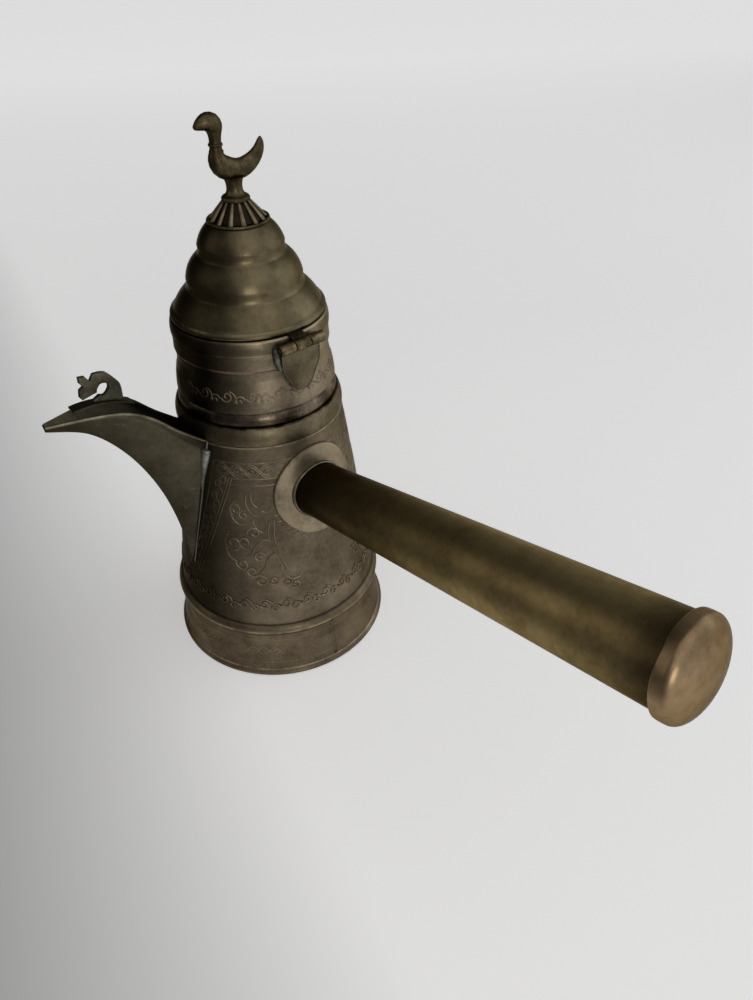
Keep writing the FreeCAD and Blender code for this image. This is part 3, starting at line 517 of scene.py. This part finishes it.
# small curls on an arc below the handle's plate
ARC_CURLS = 7
ARC_REACH = 20.2
for index in range(ARC_CURLS):
    heading = 196 + 9 * index
    turn = math.radians(heading)
    spot = 90 + math.degrees(ARC_REACH / 39.0) * math.cos(turn)
    quarter.append(curl(spot, 93.5 + ARC_REACH * math.sin(turn), 1.9, heading, 0.7, 39.0, 1, 10))
for stroke in quarter:
    for flip, turn in ((1, 0), (-1, 180), (1, 180), (-1, 360)):
        body_strokes.append([(turn + flip * degrees, height) for degrees, height in stroke])
for spot, height in ((180, 60), (180, 72), (180, 84), (180, 95), (270, 82), (270, 94)):
    for hand in (-1, 1):
        body_strokes.append(curl(spot + 5.2 * hand, height, 3.6, 90 - 90 * hand, 1.4, 39.0, hand))
        stalk = [(spot, height - 5), (spot + 1.6 * hand, height - 1), (spot, height + 4.6)]
        body_strokes.append(flowing(stalk))
engraved("body_engraving", body_strokes, body_radius)
FOOT_MIDDLE = 14.4
foot_strokes = [ring_line(7.4), ring_line(21.0)]
foot_strokes += [wave_line(FOOT_MIDDLE, 2.1, 30, shift) for shift in (0, math.pi)]
foot_strokes += [curl(6 * index + 3, FOOT_MIDDLE, 1.1, 90 * index, 0.8, 47.6, 1, 12) for index in range(60)]
engraved("foot_engraving", foot_strokes, foot_radius)


def neck_radius(height):
    """Radius of the waisted part of the neck at a height."""
    share = (height - bell_height) / (waist_height - bell_height)
    if share < 0:
        slope = (bell_radius - neck_low_radius) / (bell_height - neck_low.z)
        return bell_radius + slope * (height - bell_height)
    return bell_radius + (neck_waist_radius - bell_radius) * share + 0.05 * MM


NECK_SCROLLS = 20
neck_strokes = []
for index in range(NECK_SCROLLS):
    spot = 360 * index / NECK_SCROLLS
    neck_strokes.append(curl(spot, 138.6, 2.3, 200, 1.2, 30.6))
    neck_strokes.append(curl(spot + 9, 136.8, 2.3, 20, 1.2, 30.6))
    stalk = [(spot + 2, 140.6), (spot + 5.5, 139.4), (spot + 8, 135.6), (spot + 12, 135.0)]
    neck_strokes.append(flowing(stalk, 6))
engraved("neck_engraving", neck_strokes, neck_radius)

# Spout: one sheet folded along its keel to a deep V and curved out to a beak. It is soldered
# down both sides of the body, and stands open along the top, with its edges turned over a wire.
spout_brass = patina("spout_brass", (0.042, 0.036, 0.024), (0.075, 0.065, 0.043), (0.112, 0.097, 0.065),
                     roughness=0.4, blotch=30.0)
tree, whole, (across, along, up) = placed(spout_brass)
long_marks = noise(tree, whole, 300.0, 3.0, (0.3, 1, 0.3))
tinted(spout_brass, ramped(tree, long_marks, 0.62, 0.72, 0.0, 0.5), (0.2, 0.185, 0.14))
# keel reach and height, edge reach and height, half width, in millimetres from body to tip
SPOUT_STAGES = [(42.8, 51.0, 29.0, 115.0, 10.6), (46.4, 80.0, 42.0, 126.0, 10.2),
                (52.0, 101.5, 52.0, 136.0, 9.2), (61.0, 120.5, 61.0, 141.0, 7.6),
                (72.5, 134.3, 72.5, 142.5, 4.6), (87.0, 141.4, 87.0, 143.0, 1.0)]
SPOUT_COLUMNS = list(zip(*SPOUT_STAGES))
SPOUT_END = len(SPOUT_STAGES) - 1
SPOUT_STEPS = 44
FOLD_PARTS = 8


def spout_point(position, share):
    """A point of the sheet, from root to tip, and from -1 at one edge over the keel to 1 at the other."""
    stage = [eased(column, position) for column in SPOUT_COLUMNS]
    keel_reach, keel_height, edge_reach, edge_height, half = stage
    up = abs(share)
    width = half * (up + 0.1 * math.sin(math.pi * up))
    return Vector((-keel_reach + (keel_reach - edge_reach) * up, math.copysign(width, share),
                   keel_height + (edge_height - keel_height) * up)) * MM


def spout_line(share):
    """The line of the sheet from the place where it comes out of the body to the tip."""
    inside, outside = 0.0, 2.0
    for halving in range(24):
        middle = (inside + outside) / 2
        point = spout_point(middle, share)
        if math.hypot(point.x, point.y) < body_radius(min(point.z, body_top)) - 0.2 * MM:
            inside = middle
        else:
            outside = middle
    places = [outside + (SPOUT_END - outside) * step / SPOUT_STEPS for step in range(SPOUT_STEPS + 1)]
    return [spout_point(place, share) for place in places]


trough = bmesh.new()
bridged(trough, [spout_line(fold / FOLD_PARTS) for fold in range(-FOLD_PARTS, FOLD_PARTS + 1)])
spout = finished("spout_sheet", trough, 60)
wall = spout.modifiers.new("sheet", "SOLIDIFY")
wall.thickness = 1.0 * MM
wall.offset = 0.0
dressed(spout, spout_brass, "pot", "aged_brass", "spout_trough")
# bright brass for edges, rims and the ferrule: rubbed bare, and lighter as a painted highlight
edge_wear_and_highlight = patina("edge_wear_and_highlight", (0.1, 0.09, 0.062), (0.2, 0.18, 0.125), (0.36, 0.32, 0.22), roughness=0.34,
                    blotch=120.0)
wires("spout_edge", [spout_line(-1), spout_line(1)], 0.62 * MM, edge_wear_and_highlight, 2)
coated(spout_brass, "spout_hood", "spout_tongue", "spout_rivet")
solder = patina("grey_solder", (0.18, 0.18, 0.165), (0.34, 0.34, 0.315), (0.55, 0.55, 0.51), roughness=0.46,
                blotch=240.0, relief=0.3)
tree, whole, (across, along, up) = placed(solder)
tinted(solder, ramped(tree, up, 110 * MM, 98 * MM, 0.0, 0.8), (0.09, 0.08, 0.06))
coated(solder, "spout_solder", "hinge_solder_bed")
seam_lines = [[spout_line(side * step / 16)[0] + Vector((-0.1, 0.55 * side, 0)) * MM for step in range(17)]
              for side in (-1, 1)]
wires("spout_seam", seam_lines, 0.5 * MM, solder, 2)

# Crest: a hooked curl with three prongs, sawn from sheet and filed round at its edges.
# It stands on the tongue behind the hood, with verdigris in the corner at its foot.
verdigris = patina("verdigris_brass", (0.045, 0.042, 0.029), (0.1, 0.09, 0.06), (0.2, 0.18, 0.12),
                   roughness=0.46, blotch=130.0, relief=0.25)
crest_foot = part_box("spout_crest")[0].z
tree, whole, (across, along, up) = placed(verdigris)
green_share = sums(tree, "MULTIPLY", ramped(tree, up, crest_foot + 5 * MM, crest_foot, 0.0, 0.85),
                   ramped(tree, noise(tree, whole, 420.0, 4.0), 0.45, 0.6))
tinted(verdigris, green_share, (0.11, 0.17, 0.13))
# ahead of the heel and up, in millimetres
CREST_HEEL = (-57.0, 143.5)
CREST_BACK = [(0.4, -1.4), (0.4, 0.6), (0.3, 5.1), (1.4, 7.8), (4.8, 11.9), (9.1, 12.7)]
CREST_PRONGS = [(10.7, 10.5), (12.0, 12.8), (14.4, 13.2), (14.5, 10.9), (13.4, 9.4), (15.1, 8.3), (15.6, 5.7),
                (14.9, 4.6)]
CREST_EYE = [(9.3, 5.6), (8.8, 7.0), (7.2, 8.3), (5.0, 7.6), (4.9, 5.6), (6.8, 3.7), (8.6, 4.2)]
CREST_FOOT = [(11.0, 3.0), (11.2, 1.9), (5.8, 0.5)]
crest_outline = flowing(CREST_BACK, 4) + CREST_PRONGS + flowing(CREST_EYE, 4) + CREST_FOOT
CREST_HALF = 0.95 * MM


def thickened(outline, lift):
    """A bmesh plate from an outline of points and the vector of its thickness."""
    plate = bmesh.new()
    face = plate.faces.new([plate.verts.new(point) for point in outline])
    far = bmesh.ops.extrude_face_region(plate, geom=[face], use_keep_orig=True)
    moved = [item for item in far["geom"] if isinstance(item, bmesh.types.BMVert)]
    bmesh.ops.translate(plate, verts=moved, vec=lift)
    return plate


crest_edge = [((CREST_HEEL[0] - ahead) * MM, -CREST_HALF, (CREST_HEEL[1] + up) * MM)
              for ahead, up in crest_outline]
crest = thickened(crest_edge, (0, 2 * CREST_HALF, 0))
rims = [edge for edge in crest.edges if abs(edge.verts[0].co.y - edge.verts[1].co.y) < CREST_HALF]
bmesh.ops.bevel(crest, geom=rims, offset=0.4 * MM, offset_type="OFFSET", segments=2, profile=0.5,
                affect="EDGES", clamp_overlap=True, material=-1)
dressed(finished("crest_curl", crest, 50), verdigris, "pot", "aged_brass", "spout_crest")

# Handle: a tapered tube of plain sheet brass, set in a thin ferrule on a round plate that is dished
# to the body, and closed by a pressed cap. It is black at the root, partly as painted shade, and rubbed
# golden along its length, with a painted sheen along its top.
HANDLE_TILT = math.radians(11.65)
HANDLE_HEIGHT = body_top - 24.5 * MM
HANDLE_LENGTH = 169.0 * MM
handle_way = Vector((0, -math.cos(HANDLE_TILT), math.sin(HANDLE_TILT)))
handle_up = Vector((0, math.sin(HANDLE_TILT), math.cos(HANDLE_TILT)))
handle_root = Vector((0, -body_radius(HANDLE_HEIGHT), HANDLE_HEIGHT))
handle_brass = patina("handle_brass", (0.17, 0.125, 0.056), (0.305, 0.228, 0.102), (0.44, 0.334, 0.155),
                      roughness=0.4, blotch=24.0)
tree, whole, parts = placed(handle_brass)


def measured(tree, places, way):
    """How far each place lies along a direction."""
    along_way = tree.nodes.new("ShaderNodeVectorMath")
    along_way.operation = "DOT_PRODUCT"
    tree.links.new(places, along_way.inputs[0])
    along_way.inputs[1].default_value = way
    return along_way.outputs["Value"]


reach, height = (sums(tree, "SUBTRACT", measured(tree, whole, way), handle_root.dot(way))
                 for way in (handle_way, handle_up))
# scratches lightened only along the top of the tube: wear, and a painted sheen where light falls on the top
scuffs = ramped(tree, noise(tree, whole, 900.0, 4.0, (1, 0.3, 1)), 0.6, 0.7)
top_scratches_and_sheen = sums(tree, "MULTIPLY", scuffs, ramped(tree, height, 10 * MM, 14 * MM, 0.0, 0.7))
tinted(handle_brass, top_scratches_and_sheen, (0.3, 0.28, 0.22))
# blackened from the root outwards: soot and painted shade where the tube meets the body
tinted(handle_brass, ramped(tree, reach, 95 * MM, 8 * MM, 0.0, 0.92), SOOT_AND_SHADE_BLACK)
tinted(handle_brass, ramped(tree, reach, 150 * MM, 162 * MM, 0.0, 0.75), (0.035, 0.024, 0.014))
coated(handle_brass, "handle_tube")
plate_brass = patina("plate_brass", (0.17, 0.137, 0.092), (0.3, 0.243, 0.163), (0.42, 0.342, 0.23),
                     roughness=0.42)
PLATE_STEPS = 120


def plate_ring(wide, tall, proud):
    """A ring round the handle of a half width and half height, proud of the body, in millimetres."""
    ring = []
    for step in range(PLATE_STEPS):
        turn = math.tau * step / PLATE_STEPS
        spot = handle_root + Vector((wide * MM * math.cos(turn), 0, 0))
        spot += handle_up * tall * MM * math.sin(turn)
        for approach in range(6):
            spot -= handle_way * (math.hypot(spot.x, spot.y) - body_radius(spot.z) - proud * MM)
        ring.append(spot)
    return ring


def ringed(name, rings):
    """A closed band through rings round the handle, each as plate_ring takes it."""
    band = bmesh.new()
    loops = bridged(band, [plate_ring(*ring) for ring in rings], rings=True)
    bmesh.ops.bridge_loops(band, edges=loops[-1] + loops[0])
    return finished(name, band)


plate_rings = ((9.5, 10.1, 0.2), (9.5, 10.1, 1.1), (14.2, 15.1, 1.05), (18.5, 19.7, 0.95), (19.0, 20.2, 0.75),
               (19.0, 20.2, -0.3))
dressed(ringed("plate_dish", plate_rings), plate_brass, "pot", "aged_brass", "handle_escutcheon")
ferrule_rings = [(radius, radius, proud) for radius, proud in
                 ((11.5, 0.6), (11.5, 2.0), (11.8, 2.2), (12.2, 2.0), (12.4, 1.5), (12.4, 0.6))]
dressed(ringed("root_ferrule", ferrule_rings), edge_wear_and_highlight, "pot", "aged_brass", "handle_ferrule")
edge_line = plate_ring(18.8, 20.0, 0.85)
wires("plate_edge", [edge_line + edge_line[:1]], 0.2 * MM, edge_wear_and_highlight, 1)
cap_copper = patina("cap_copper", (0.15, 0.1, 0.053), (0.265, 0.182, 0.099), (0.39, 0.275, 0.16),
                    roughness=0.34, blotch=30.0)
CAP_SKIRT = 5.4 * MM
CAP_RADIUS = 16.4 * MM
CAP_BORE = 15.6 * MM
CAP_SHOULDER = 3.3 * MM
CAP_RISE = 6.0 * MM
CAP_SEAT_RADIUS = 15.15 * MM
CAP_STEPS = 24
POLE = 0.02 * MM
cap_section = [(CAP_BORE, 0.0)]
cap_section += bowed((CAP_RADIUS - 0.4 * MM, 0.0), (CAP_RADIUS, 0.6 * MM), 0.12 * MM, 4)
cap_section += bowed((CAP_RADIUS, 0.6 * MM), (CAP_RADIUS, CAP_SHOULDER), 0.05 * MM, 6)
for step in range(CAP_STEPS):
    turn = math.pi / 2 * step / CAP_STEPS
    cap_section.append((CAP_RADIUS * math.cos(turn), CAP_SHOULDER + CAP_RISE * math.sin(turn)))
cap_section += [(POLE, CAP_SHOULDER + CAP_RISE), (POLE, CAP_SKIRT), (CAP_SEAT_RADIUS, CAP_SKIRT),
                (CAP_BORE, CAP_SKIRT - 2.9 * MM)]
cap_form = turned_form(cap_section, 128)
handle_turn = Vector((0, 0, 1)).rotation_difference(handle_way).to_matrix().to_4x4()
cap_place = Matrix.Translation(handle_root + handle_way * (HANDLE_LENGTH - CAP_SKIRT))
bmesh.ops.transform(cap_form, verts=cap_form.verts, matrix=cap_place @ handle_turn)
dressed(finished("handle_end", cap_form), cap_copper, "pot", "worn_copper", "handle_cap")

# Hinge: a shield-shaped leaf soldered on the neck and a short leaf on the lid, with three
# knuckles rolled round a brass pin. The knuckles are dark and rubbed golden in spots, and
# rough solder fills the corners between the flat leaf and the round neck.
hinge_brass = patina("hinge_brass", (0.088, 0.071, 0.043), (0.155, 0.127, 0.077), (0.235, 0.194, 0.12),
                     roughness=0.38, blotch=70.0)
barrel_brass = patina("barrel_brass", (0.045, 0.036, 0.021), (0.1, 0.08, 0.045), (0.34, 0.265, 0.135),
                      roughness=0.36, blotch=260.0, relief=0.2)
pin_low, pin_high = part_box("hinge_pin")
hinge_along = (pin_low.y + pin_high.y) / 2
hinge_height = (pin_low.z + pin_high.z) / 2
KNUCKLE_RADIUS = 2.1 * MM
KNUCKLE_BORE = 0.95 * MM
KNUCKLE_GAP = 0.3 * MM
KNUCKLE_ROUND = 0.3 * MM
MIDDLE_HALF = 3.2 * MM
BARREL_HALF = 10.0 * MM
LEAF_THICK = 1.2 * MM


def knuckle(name, start, end):
    """One rolled knuckle on the pin, its ends slightly rounded."""
    length = end - start
    face_radius = KNUCKLE_RADIUS - KNUCKLE_ROUND
    section = [(KNUCKLE_BORE, 0.0), (face_radius, 0.0), (KNUCKLE_RADIUS, KNUCKLE_ROUND),
               (KNUCKLE_RADIUS, length - KNUCKLE_ROUND), (face_radius, length), (KNUCKLE_BORE, length)]
    roll = turned_form(section, 48)
    place = Matrix.Translation((start, hinge_along, hinge_height))
    bmesh.ops.transform(roll, verts=roll.verts, matrix=place @ Matrix.Rotation(math.radians(90), 4, "Y"))
    return finished(name, roll, 30)


def plated(name, outline, lift):
    """A plate with softened edges, from its outline of points and the vector of its thickness."""
    plate = thickened(outline, lift)
    bmesh.ops.bevel(plate, geom=plate.edges[:], offset=0.25 * MM, offset_type="OFFSET", segments=2,
                    profile=0.5, affect="EDGES", clamp_overlap=True, material=-1)
    return finished(name, plate, 40)


leaf_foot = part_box("hinge_neck_leaf")[0].z
leaf_face = hinge_along + KNUCKLE_RADIUS - LEAF_THICK
notch = MIDDLE_HALF + KNUCKLE_GAP
notch_floor = hinge_height - KNUCKLE_RADIUS - KNUCKLE_GAP
half_shield = [(notch, notch_floor), (notch, hinge_height), (8.5 * MM, hinge_height),
               (8.5 * MM, hinge_height - 8 * MM), (8.0 * MM, hinge_height - 9.6 * MM),
               (4.2 * MM, leaf_foot + 2.2 * MM), (3.0 * MM, leaf_foot + 0.8 * MM),
               (1.4 * MM, leaf_foot + 0.1 * MM)]
shield = half_shield + [(-across, up) for across, up in reversed(half_shield)]
leaf = plated("neck_shield", [(across, leaf_face, up) for across, up in shield], (0, LEAF_THICK, 0))
dressed(leaf, hinge_brass, "pot", "aged_brass", "hinge_neck_leaf")
# bright lines along the shield's sides: painted highlight on the leaf's edges
shield_sides = [[(side * across, leaf_face - 0.02 * MM, up) for across, up in half_shield[2:]]
                for side in (-1, 1)]
wires("shield_edge", shield_sides, 0.13 * MM, edge_wear_and_highlight, 1)
fillet_solder = patina("fillet_solder", (0.06, 0.06, 0.054), (0.12, 0.12, 0.108), (0.3, 0.3, 0.275),
                       roughness=0.5, blotch=300.0, relief=0.35)
# aside and down from the pin, in millimetres
FILLET_LINE = ((8.7, 0.2), (8.9, 3.0), (8.6, 6.5), (7.6, 9.0))
FILLET_ALONG = -30.4 * MM
fillets = [[(side * aside * MM, FILLET_ALONG, hinge_height - fall * MM) for aside, fall in FILLET_LINE]
           for side in (-1, 1)]
wires("hinge_fillet", fillets, 1.6 * MM, fillet_solder, 4)
for name, start, end in (("near_knuckle", -BARREL_HALF, -notch), ("far_knuckle", notch, BARREL_HALF)):
    dressed(knuckle(name, start, end), barrel_brass, "pot", "aged_brass")
coated(barrel_brass, "hinge_pin")
middle = knuckle("middle_knuckle", -MIDDLE_HALF, MIDDLE_HALF)
dressed(middle, barrel_brass, "lid", "aged_brass", "hinge_lid_leaf")
lid_low, lid_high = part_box("lid_shell")
lid_base = lid_low.z
flange_radius = lid_high.x
strap_start = (hinge_along + 1.0 * MM, hinge_height + 1.7 * MM)
strap_end = (1.3 * MM - flange_radius, lid_base + 1.1 * MM)
strap_outline = [(side * MIDDLE_HALF, along, up) for side, (along, up) in
                 ((-1, strap_start), (1, strap_start), (1, strap_end), (-1, strap_end))]
# near-black strap: painted shade, so the lid's leaf reads as the shadowed gap under the lid's rim
strap_shade_black = patina("strap_shade_black", (0.012, 0.01, 0.007), (0.028, 0.023, 0.015), (0.06, 0.048, 0.03),
                     roughness=0.5)
dressed(plated("lid_strap", strap_outline, (0, 0, 0.45 * MM)), strap_shade_black, "lid", "aged_brass")

# Lid: spun brass in three soft swells over a rolled rim, with a sleeve inside that
# drops into the neck. It is darker towards the spout, from soot and painted shade, and its rim is rubbed.
lid_brass = patina("lid_brass", (0.07, 0.055, 0.03), (0.125, 0.1, 0.056), (0.19, 0.153, 0.088),
                   roughness=0.34, turning=0.16, blotch=30.0)
# soot and painted shade on the spout side
darkened_with_soot_and_shade(lid_brass, 66, 24, 0.65)
rubbed_and_shaded(lid_brass, (0.2, 0.165, 0.1), (lid_base + 1.6 * MM, 0.3 * MM), (lid_base + 3.0 * MM, 0.4 * MM))
LID_WALL = 1.6 * MM
VALLEY = 1.7 * MM
lid_top_radius = 10.8 * MM
lid_edge = lid_base + 1.3 * MM
flange_turn = (flange_radius - 1.3 * MM, lid_edge + 1.6 * MM)
lid_outer = bowed((flange_radius - 0.8 * MM, lid_edge), flange_turn, 0.35 * MM, 8)
lid_outer += [flange_turn, (flange_radius - 1.9 * MM, lid_edge + 2.2 * MM)]
FLANGE_POINTS = len(lid_outer)
start = (flange_radius - 2.3 * MM, lid_edge + 2.5 * MM)
# radius and height of the valley above each swell, and how far that swell stands out, in millimetres
for radius, height, swell in ((22.3, 11.5, 0.55), (16.4, 23.9, 1.1)):
    valley_foot = ((radius + 0.2) * MM, lid_edge + height * MM - VALLEY)
    valley_head = ((radius - 0.2) * MM, lid_edge + height * MM + VALLEY)
    lid_outer += bowed(start, valley_foot, swell * MM, 18)
    lid_outer += bowed(valley_foot, valley_head, -0.25 * MM, 8)
    start = valley_head
lid_outer += bowed(start, (lid_top_radius, lid_high.z), 0.8 * MM, 18)
lid_outer.append((lid_top_radius, lid_high.z))
lid_inner = [(radius - LID_WALL, height - LID_WALL) for radius, height in reversed(lid_outer[FLANGE_POINTS:])]
lid_section = lid_outer + [(2 * MM, lid_high.z), (2 * MM, lid_high.z - LID_WALL)] + lid_inner
lid_section.append((flange_radius - 3.9 * MM, lid_edge))
lid_bell = finished("lid_bell", turned_form(lid_section), 60)
dressed(lid_bell, lid_brass, "lid", "aged_brass", "lid_shell")
coated(lid_brass, "lid_sleeve", "finial_washer")

# Finial: a fluted calyx and turned stem, riveted through the lid, carrying a small cast
# bird with a round head, two collars on its neck and an upswept crescent tail.
bird_brass = patina("bird_brass", (0.036, 0.028, 0.015), (0.075, 0.059, 0.031), (0.18, 0.139, 0.071),
                    roughness=0.36, blotch=110.0)
calyx_brass = patina("calyx_brass", (0.1, 0.08, 0.045), (0.18, 0.147, 0.086), (0.3, 0.245, 0.15),
                     roughness=0.36, blotch=160.0)
RIBS = 13
tree, whole, (across, along, up) = placed(calyx_brass)
# dark stripes between the flutes: painted shade
rib_wave = sums(tree, "COSINE", sums(tree, "MULTIPLY", sums(tree, "ARCTAN2", along, across), RIBS))
tinted(calyx_brass, ramped(tree, rib_wave, 0.5, 0.05, 0.0, 0.94), SOOT_AND_SHADE_BLACK)
coated(calyx_brass, "finial_calyx")
calyx_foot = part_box("finial_calyx")[0].z + 0.3 * MM
calyx_edge = [around(6 * step, lid_top_radius + 0.15 * MM, calyx_foot) for step in range(61)]
wires("calyx_rim", [calyx_edge], 0.65 * MM, barrel_brass, 2, "lid")
calyx_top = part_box("finial_calyx")[1].z
bird_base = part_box("finial_bird")[0].z
shank_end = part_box("finial_stem")[0].z
stem_section = [(POLE, shank_end), (1.6 * MM, shank_end), (1.6 * MM, calyx_top), (5.0 * MM, calyx_top)]
stem_section += bowed((5.0 * MM, calyx_top), (4.6 * MM, calyx_top + 1.5 * MM), 0.35 * MM, 6)
stem_section += bowed((4.6 * MM, calyx_top + 1.5 * MM), (2.9 * MM, calyx_top + 4.0 * MM), -0.5 * MM, 8)
stem_section += bowed((2.9 * MM, calyx_top + 4.0 * MM), (3.9 * MM, bird_base + 1.2 * MM), -0.35 * MM, 8)
stem_section += [(3.9 * MM, bird_base + 1.2 * MM), (POLE, bird_base + 1.6 * MM)]
turned_stem = finished("turned_stem", turned_form(stem_section, 64))
dressed(turned_stem, bird_brass, "lid", "aged_brass", "finial_stem")
# ahead of the stem and up, half depth and half thickness, in millimetres from tail to beak
BIRD_STATIONS = [(-12.6, 12.3, 0.35, 0.35), (-12.5, 10.6, 1.55, 1.1), (-11.9, 8.2, 2.2, 1.6),
                 (-9.4, 5.5, 2.9, 2.0), (-5.9, 3.6, 3.5, 2.5), (-2.2, 2.9, 3.7, 3.0), (1.8, 3.8, 4.2, 3.4),
                 (4.8, 5.6, 4.3, 3.6), (5.8, 8.3, 3.4, 3.3), (5.5, 10.0, 2.4, 2.5), (5.5, 11.1, 2.15, 2.15),
                 (5.4, 12.3, 2.2, 2.2), (5.4, 13.6, 2.1, 2.1), (5.3, 15.0, 2.2, 2.2), (5.3, 16.6, 2.7, 2.6),
                 (5.3, 18.0, 3.5, 3.2), (6.0, 19.5, 3.7, 3.4), (7.8, 20.0, 3.2, 3.0), (9.8, 19.6, 2.4, 2.3),
                 (11.7, 18.9, 1.5, 1.3), (13.0, 18.4, 0.5, 0.5)]
COLLARS = (10.2, 12.4)
SIDES = 16
bird_rings = []
for index, (ahead, up, depth, thick) in enumerate(BIRD_STATIONS):
    before = BIRD_STATIONS[max(index - 1, 0)]
    after = BIRD_STATIONS[min(index + 1, len(BIRD_STATIONS) - 1)]
    way = Vector((after[0] - before[0], after[1] - before[1])).normalized()
    ring = []
    for side in range(SIDES):
        turn = math.tau * side / SIDES
        out = depth * math.cos(turn)
        ring.append((-(ahead - way.y * out) * MM, thick * math.sin(turn) * MM,
                     bird_base + (up + way.x * out) * MM))
    bird_rings.append(ring)
bird = bmesh.new()
bridged(bird, bird_rings, rings=True)
bmesh.ops.holes_fill(bird, edges=bird.edges, sides=SIDES)
bird_piece = finished("bird_casting", bird, 80)
smooth = bird_piece.modifiers.new("cast", "SUBSURF")
smooth.levels = 1
smooth.render_levels = 1
dressed(bird_piece, bird_brass, "lid", "aged_brass", "finial_bird")
collar_lines = []
for up in COLLARS:
    centre = Vector((-5.45 * MM, 0, bird_base + up * MM))
    collar_lines.append([centre + around(12 * step, 1.95 * MM, 0) for step in range(31)])
wires("bird_collars", collar_lines, 0.6 * MM, bird_brass, 3, "lid")

# Stage: a pale table, darkened to the left and front as painted shade and given a painted glow towards the
# right and back, soft light from above, from the front and from both sides, and the camera where the
# photograph was taken from.
CAMERA_AZIMUTH = math.radians(-31.0)
to_frame = Matrix.Rotation(CAMERA_AZIMUTH, 3, "Z")
floor = bmesh.new()
bmesh.ops.create_grid(floor, x_segments=1, y_segments=1, size=6.0)
table = finished("table", floor)
pale = bpy.data.materials.new("pale_table")
pale.use_nodes = True
tree = pale.node_tree
top = tree.nodes["Principled BSDF"]
top.inputs["Roughness"].default_value = 0.7
top.inputs["Emission Color"].default_value = (1.0, 0.99, 0.98, 1)
tree.nodes.new("ShaderNodeTexCoord")
tree, whole, parts = placed(pale)
seen = tree.nodes.new("ShaderNodeLightPath").outputs
mirrored = sums(tree, "ADD", seen["Is Glossy Ray"], seen["Is Transmission Ray"])
shown = sums(tree, "MINIMUM", sums(tree, "ADD", seen["Is Camera Ray"], mirrored), 1.0)
to_light = measured(tree, whole, to_frame @ Vector((1.0, 0.35, 0.0)))
to_back = measured(tree, whole, to_frame @ Vector((0.0, 1.0, 0.0)))
# base colour darker to the left and front: painted shade on the floor
tree.links.new(ramped(tree, to_light, -0.3, -0.03, 0.37, 0.79), top.inputs["Base Color"])
# emission seen by camera and mirror rays, stronger to the right and back: painted light on the floor
painted_floor_light = sums(tree, "ADD", ramped(tree, to_light, -0.2, -0.04, 0.0, 0.36),
            ramped(tree, to_back, 0.3, 1.5, 0.0, 0.19))
tree.links.new(sums(tree, "MULTIPLY", painted_floor_light, shown), top.inputs["Emission Strength"])
table.data.materials.append(pale)


def soft_lamp(name, place, size, power, colour):
    """A square lamp, its place counted from the camera's side, aimed at the middle of the pot."""
    lamp = bpy.data.lights.new(name, "AREA")
    lamp.size = size
    lamp.energy = power
    lamp.color = colour
    holder = bpy.data.objects.new(name, lamp)
    bpy.context.scene.collection.objects.link(holder)
    holder.location = to_frame @ Vector(place)
    holder.rotation_euler = (Vector((0, 0, 0.1)) - holder.location).to_track_quat("-Z", "Y").to_euler()


soft_lamp("ceiling", (0.12, -0.55, 1.05), 1.4, 3.2, (1.0, 0.98, 0.95))
soft_lamp("doorway", (0.12, -1.2, 0.3), 0.36, 1.5, (1.0, 0.97, 0.92))
soft_lamp("window", (1.0, 0.1, 0.5), 0.9, 1.5, (0.9, 0.95, 1.0))
soft_lamp("left_wall", (-1.1, -0.1, 0.75), 1.0, 1.3, (1.0, 0.93, 0.82))
world = bpy.data.worlds.new("room")
bpy.context.scene.world = world
world.use_nodes = True
room = world.node_tree
lit_side = to_frame @ Vector((0.7, -0.35, -0.35)).normalized()
facing = measured(room, room.nodes.new("ShaderNodeTexCoord").outputs["Generated"], lit_side)
backdrop = room.nodes["Background"].inputs
room.links.new(ramped(room, facing, -0.8, 0.9, 0.04, 0.62), backdrop["Strength"])
backdrop["Color"].default_value = (0.95, 0.97, 1.0, 1)

CAMERA_DISTANCE = 0.28855
CAMERA_HEIGHT = 0.28975
PAN, PITCH, ROLL = (math.radians(angle) for angle in (9.73, 38.43, -0.72))
FOCAL_PIXELS = 778.9
PHOTO_LONG_SIDE = 1000.0
level = Vector((math.sin(PAN), math.cos(PAN), 0)) * math.cos(PITCH)
forward = to_frame @ (level - Vector((0, 0, math.sin(PITCH))))
right = to_frame @ Vector((math.cos(PAN), -math.sin(PAN), 0))
upward = right.cross(forward)
rolled_right = right * math.cos(ROLL) + upward * math.sin(ROLL)
rolled_up = upward * math.cos(ROLL) - right * math.sin(ROLL)
camera = bpy.data.cameras.new("photo_camera")
camera.sensor_width = 36.0
camera.lens = FOCAL_PIXELS / PHOTO_LONG_SIDE * camera.sensor_width
camera.clip_start = 0.01
viewer = bpy.data.objects.new("photo_camera", camera)
bpy.context.scene.collection.objects.link(viewer)
turn = Matrix((rolled_right, rolled_up, -forward)).transposed().to_4x4()
viewer.matrix_world = Matrix.Translation(to_frame @ Vector((0, -CAMERA_DISTANCE, CAMERA_HEIGHT))) @ turn
bpy.context.scene.camera = viewer
bpy.context.scene.view_settings.view_transform = "Standard"
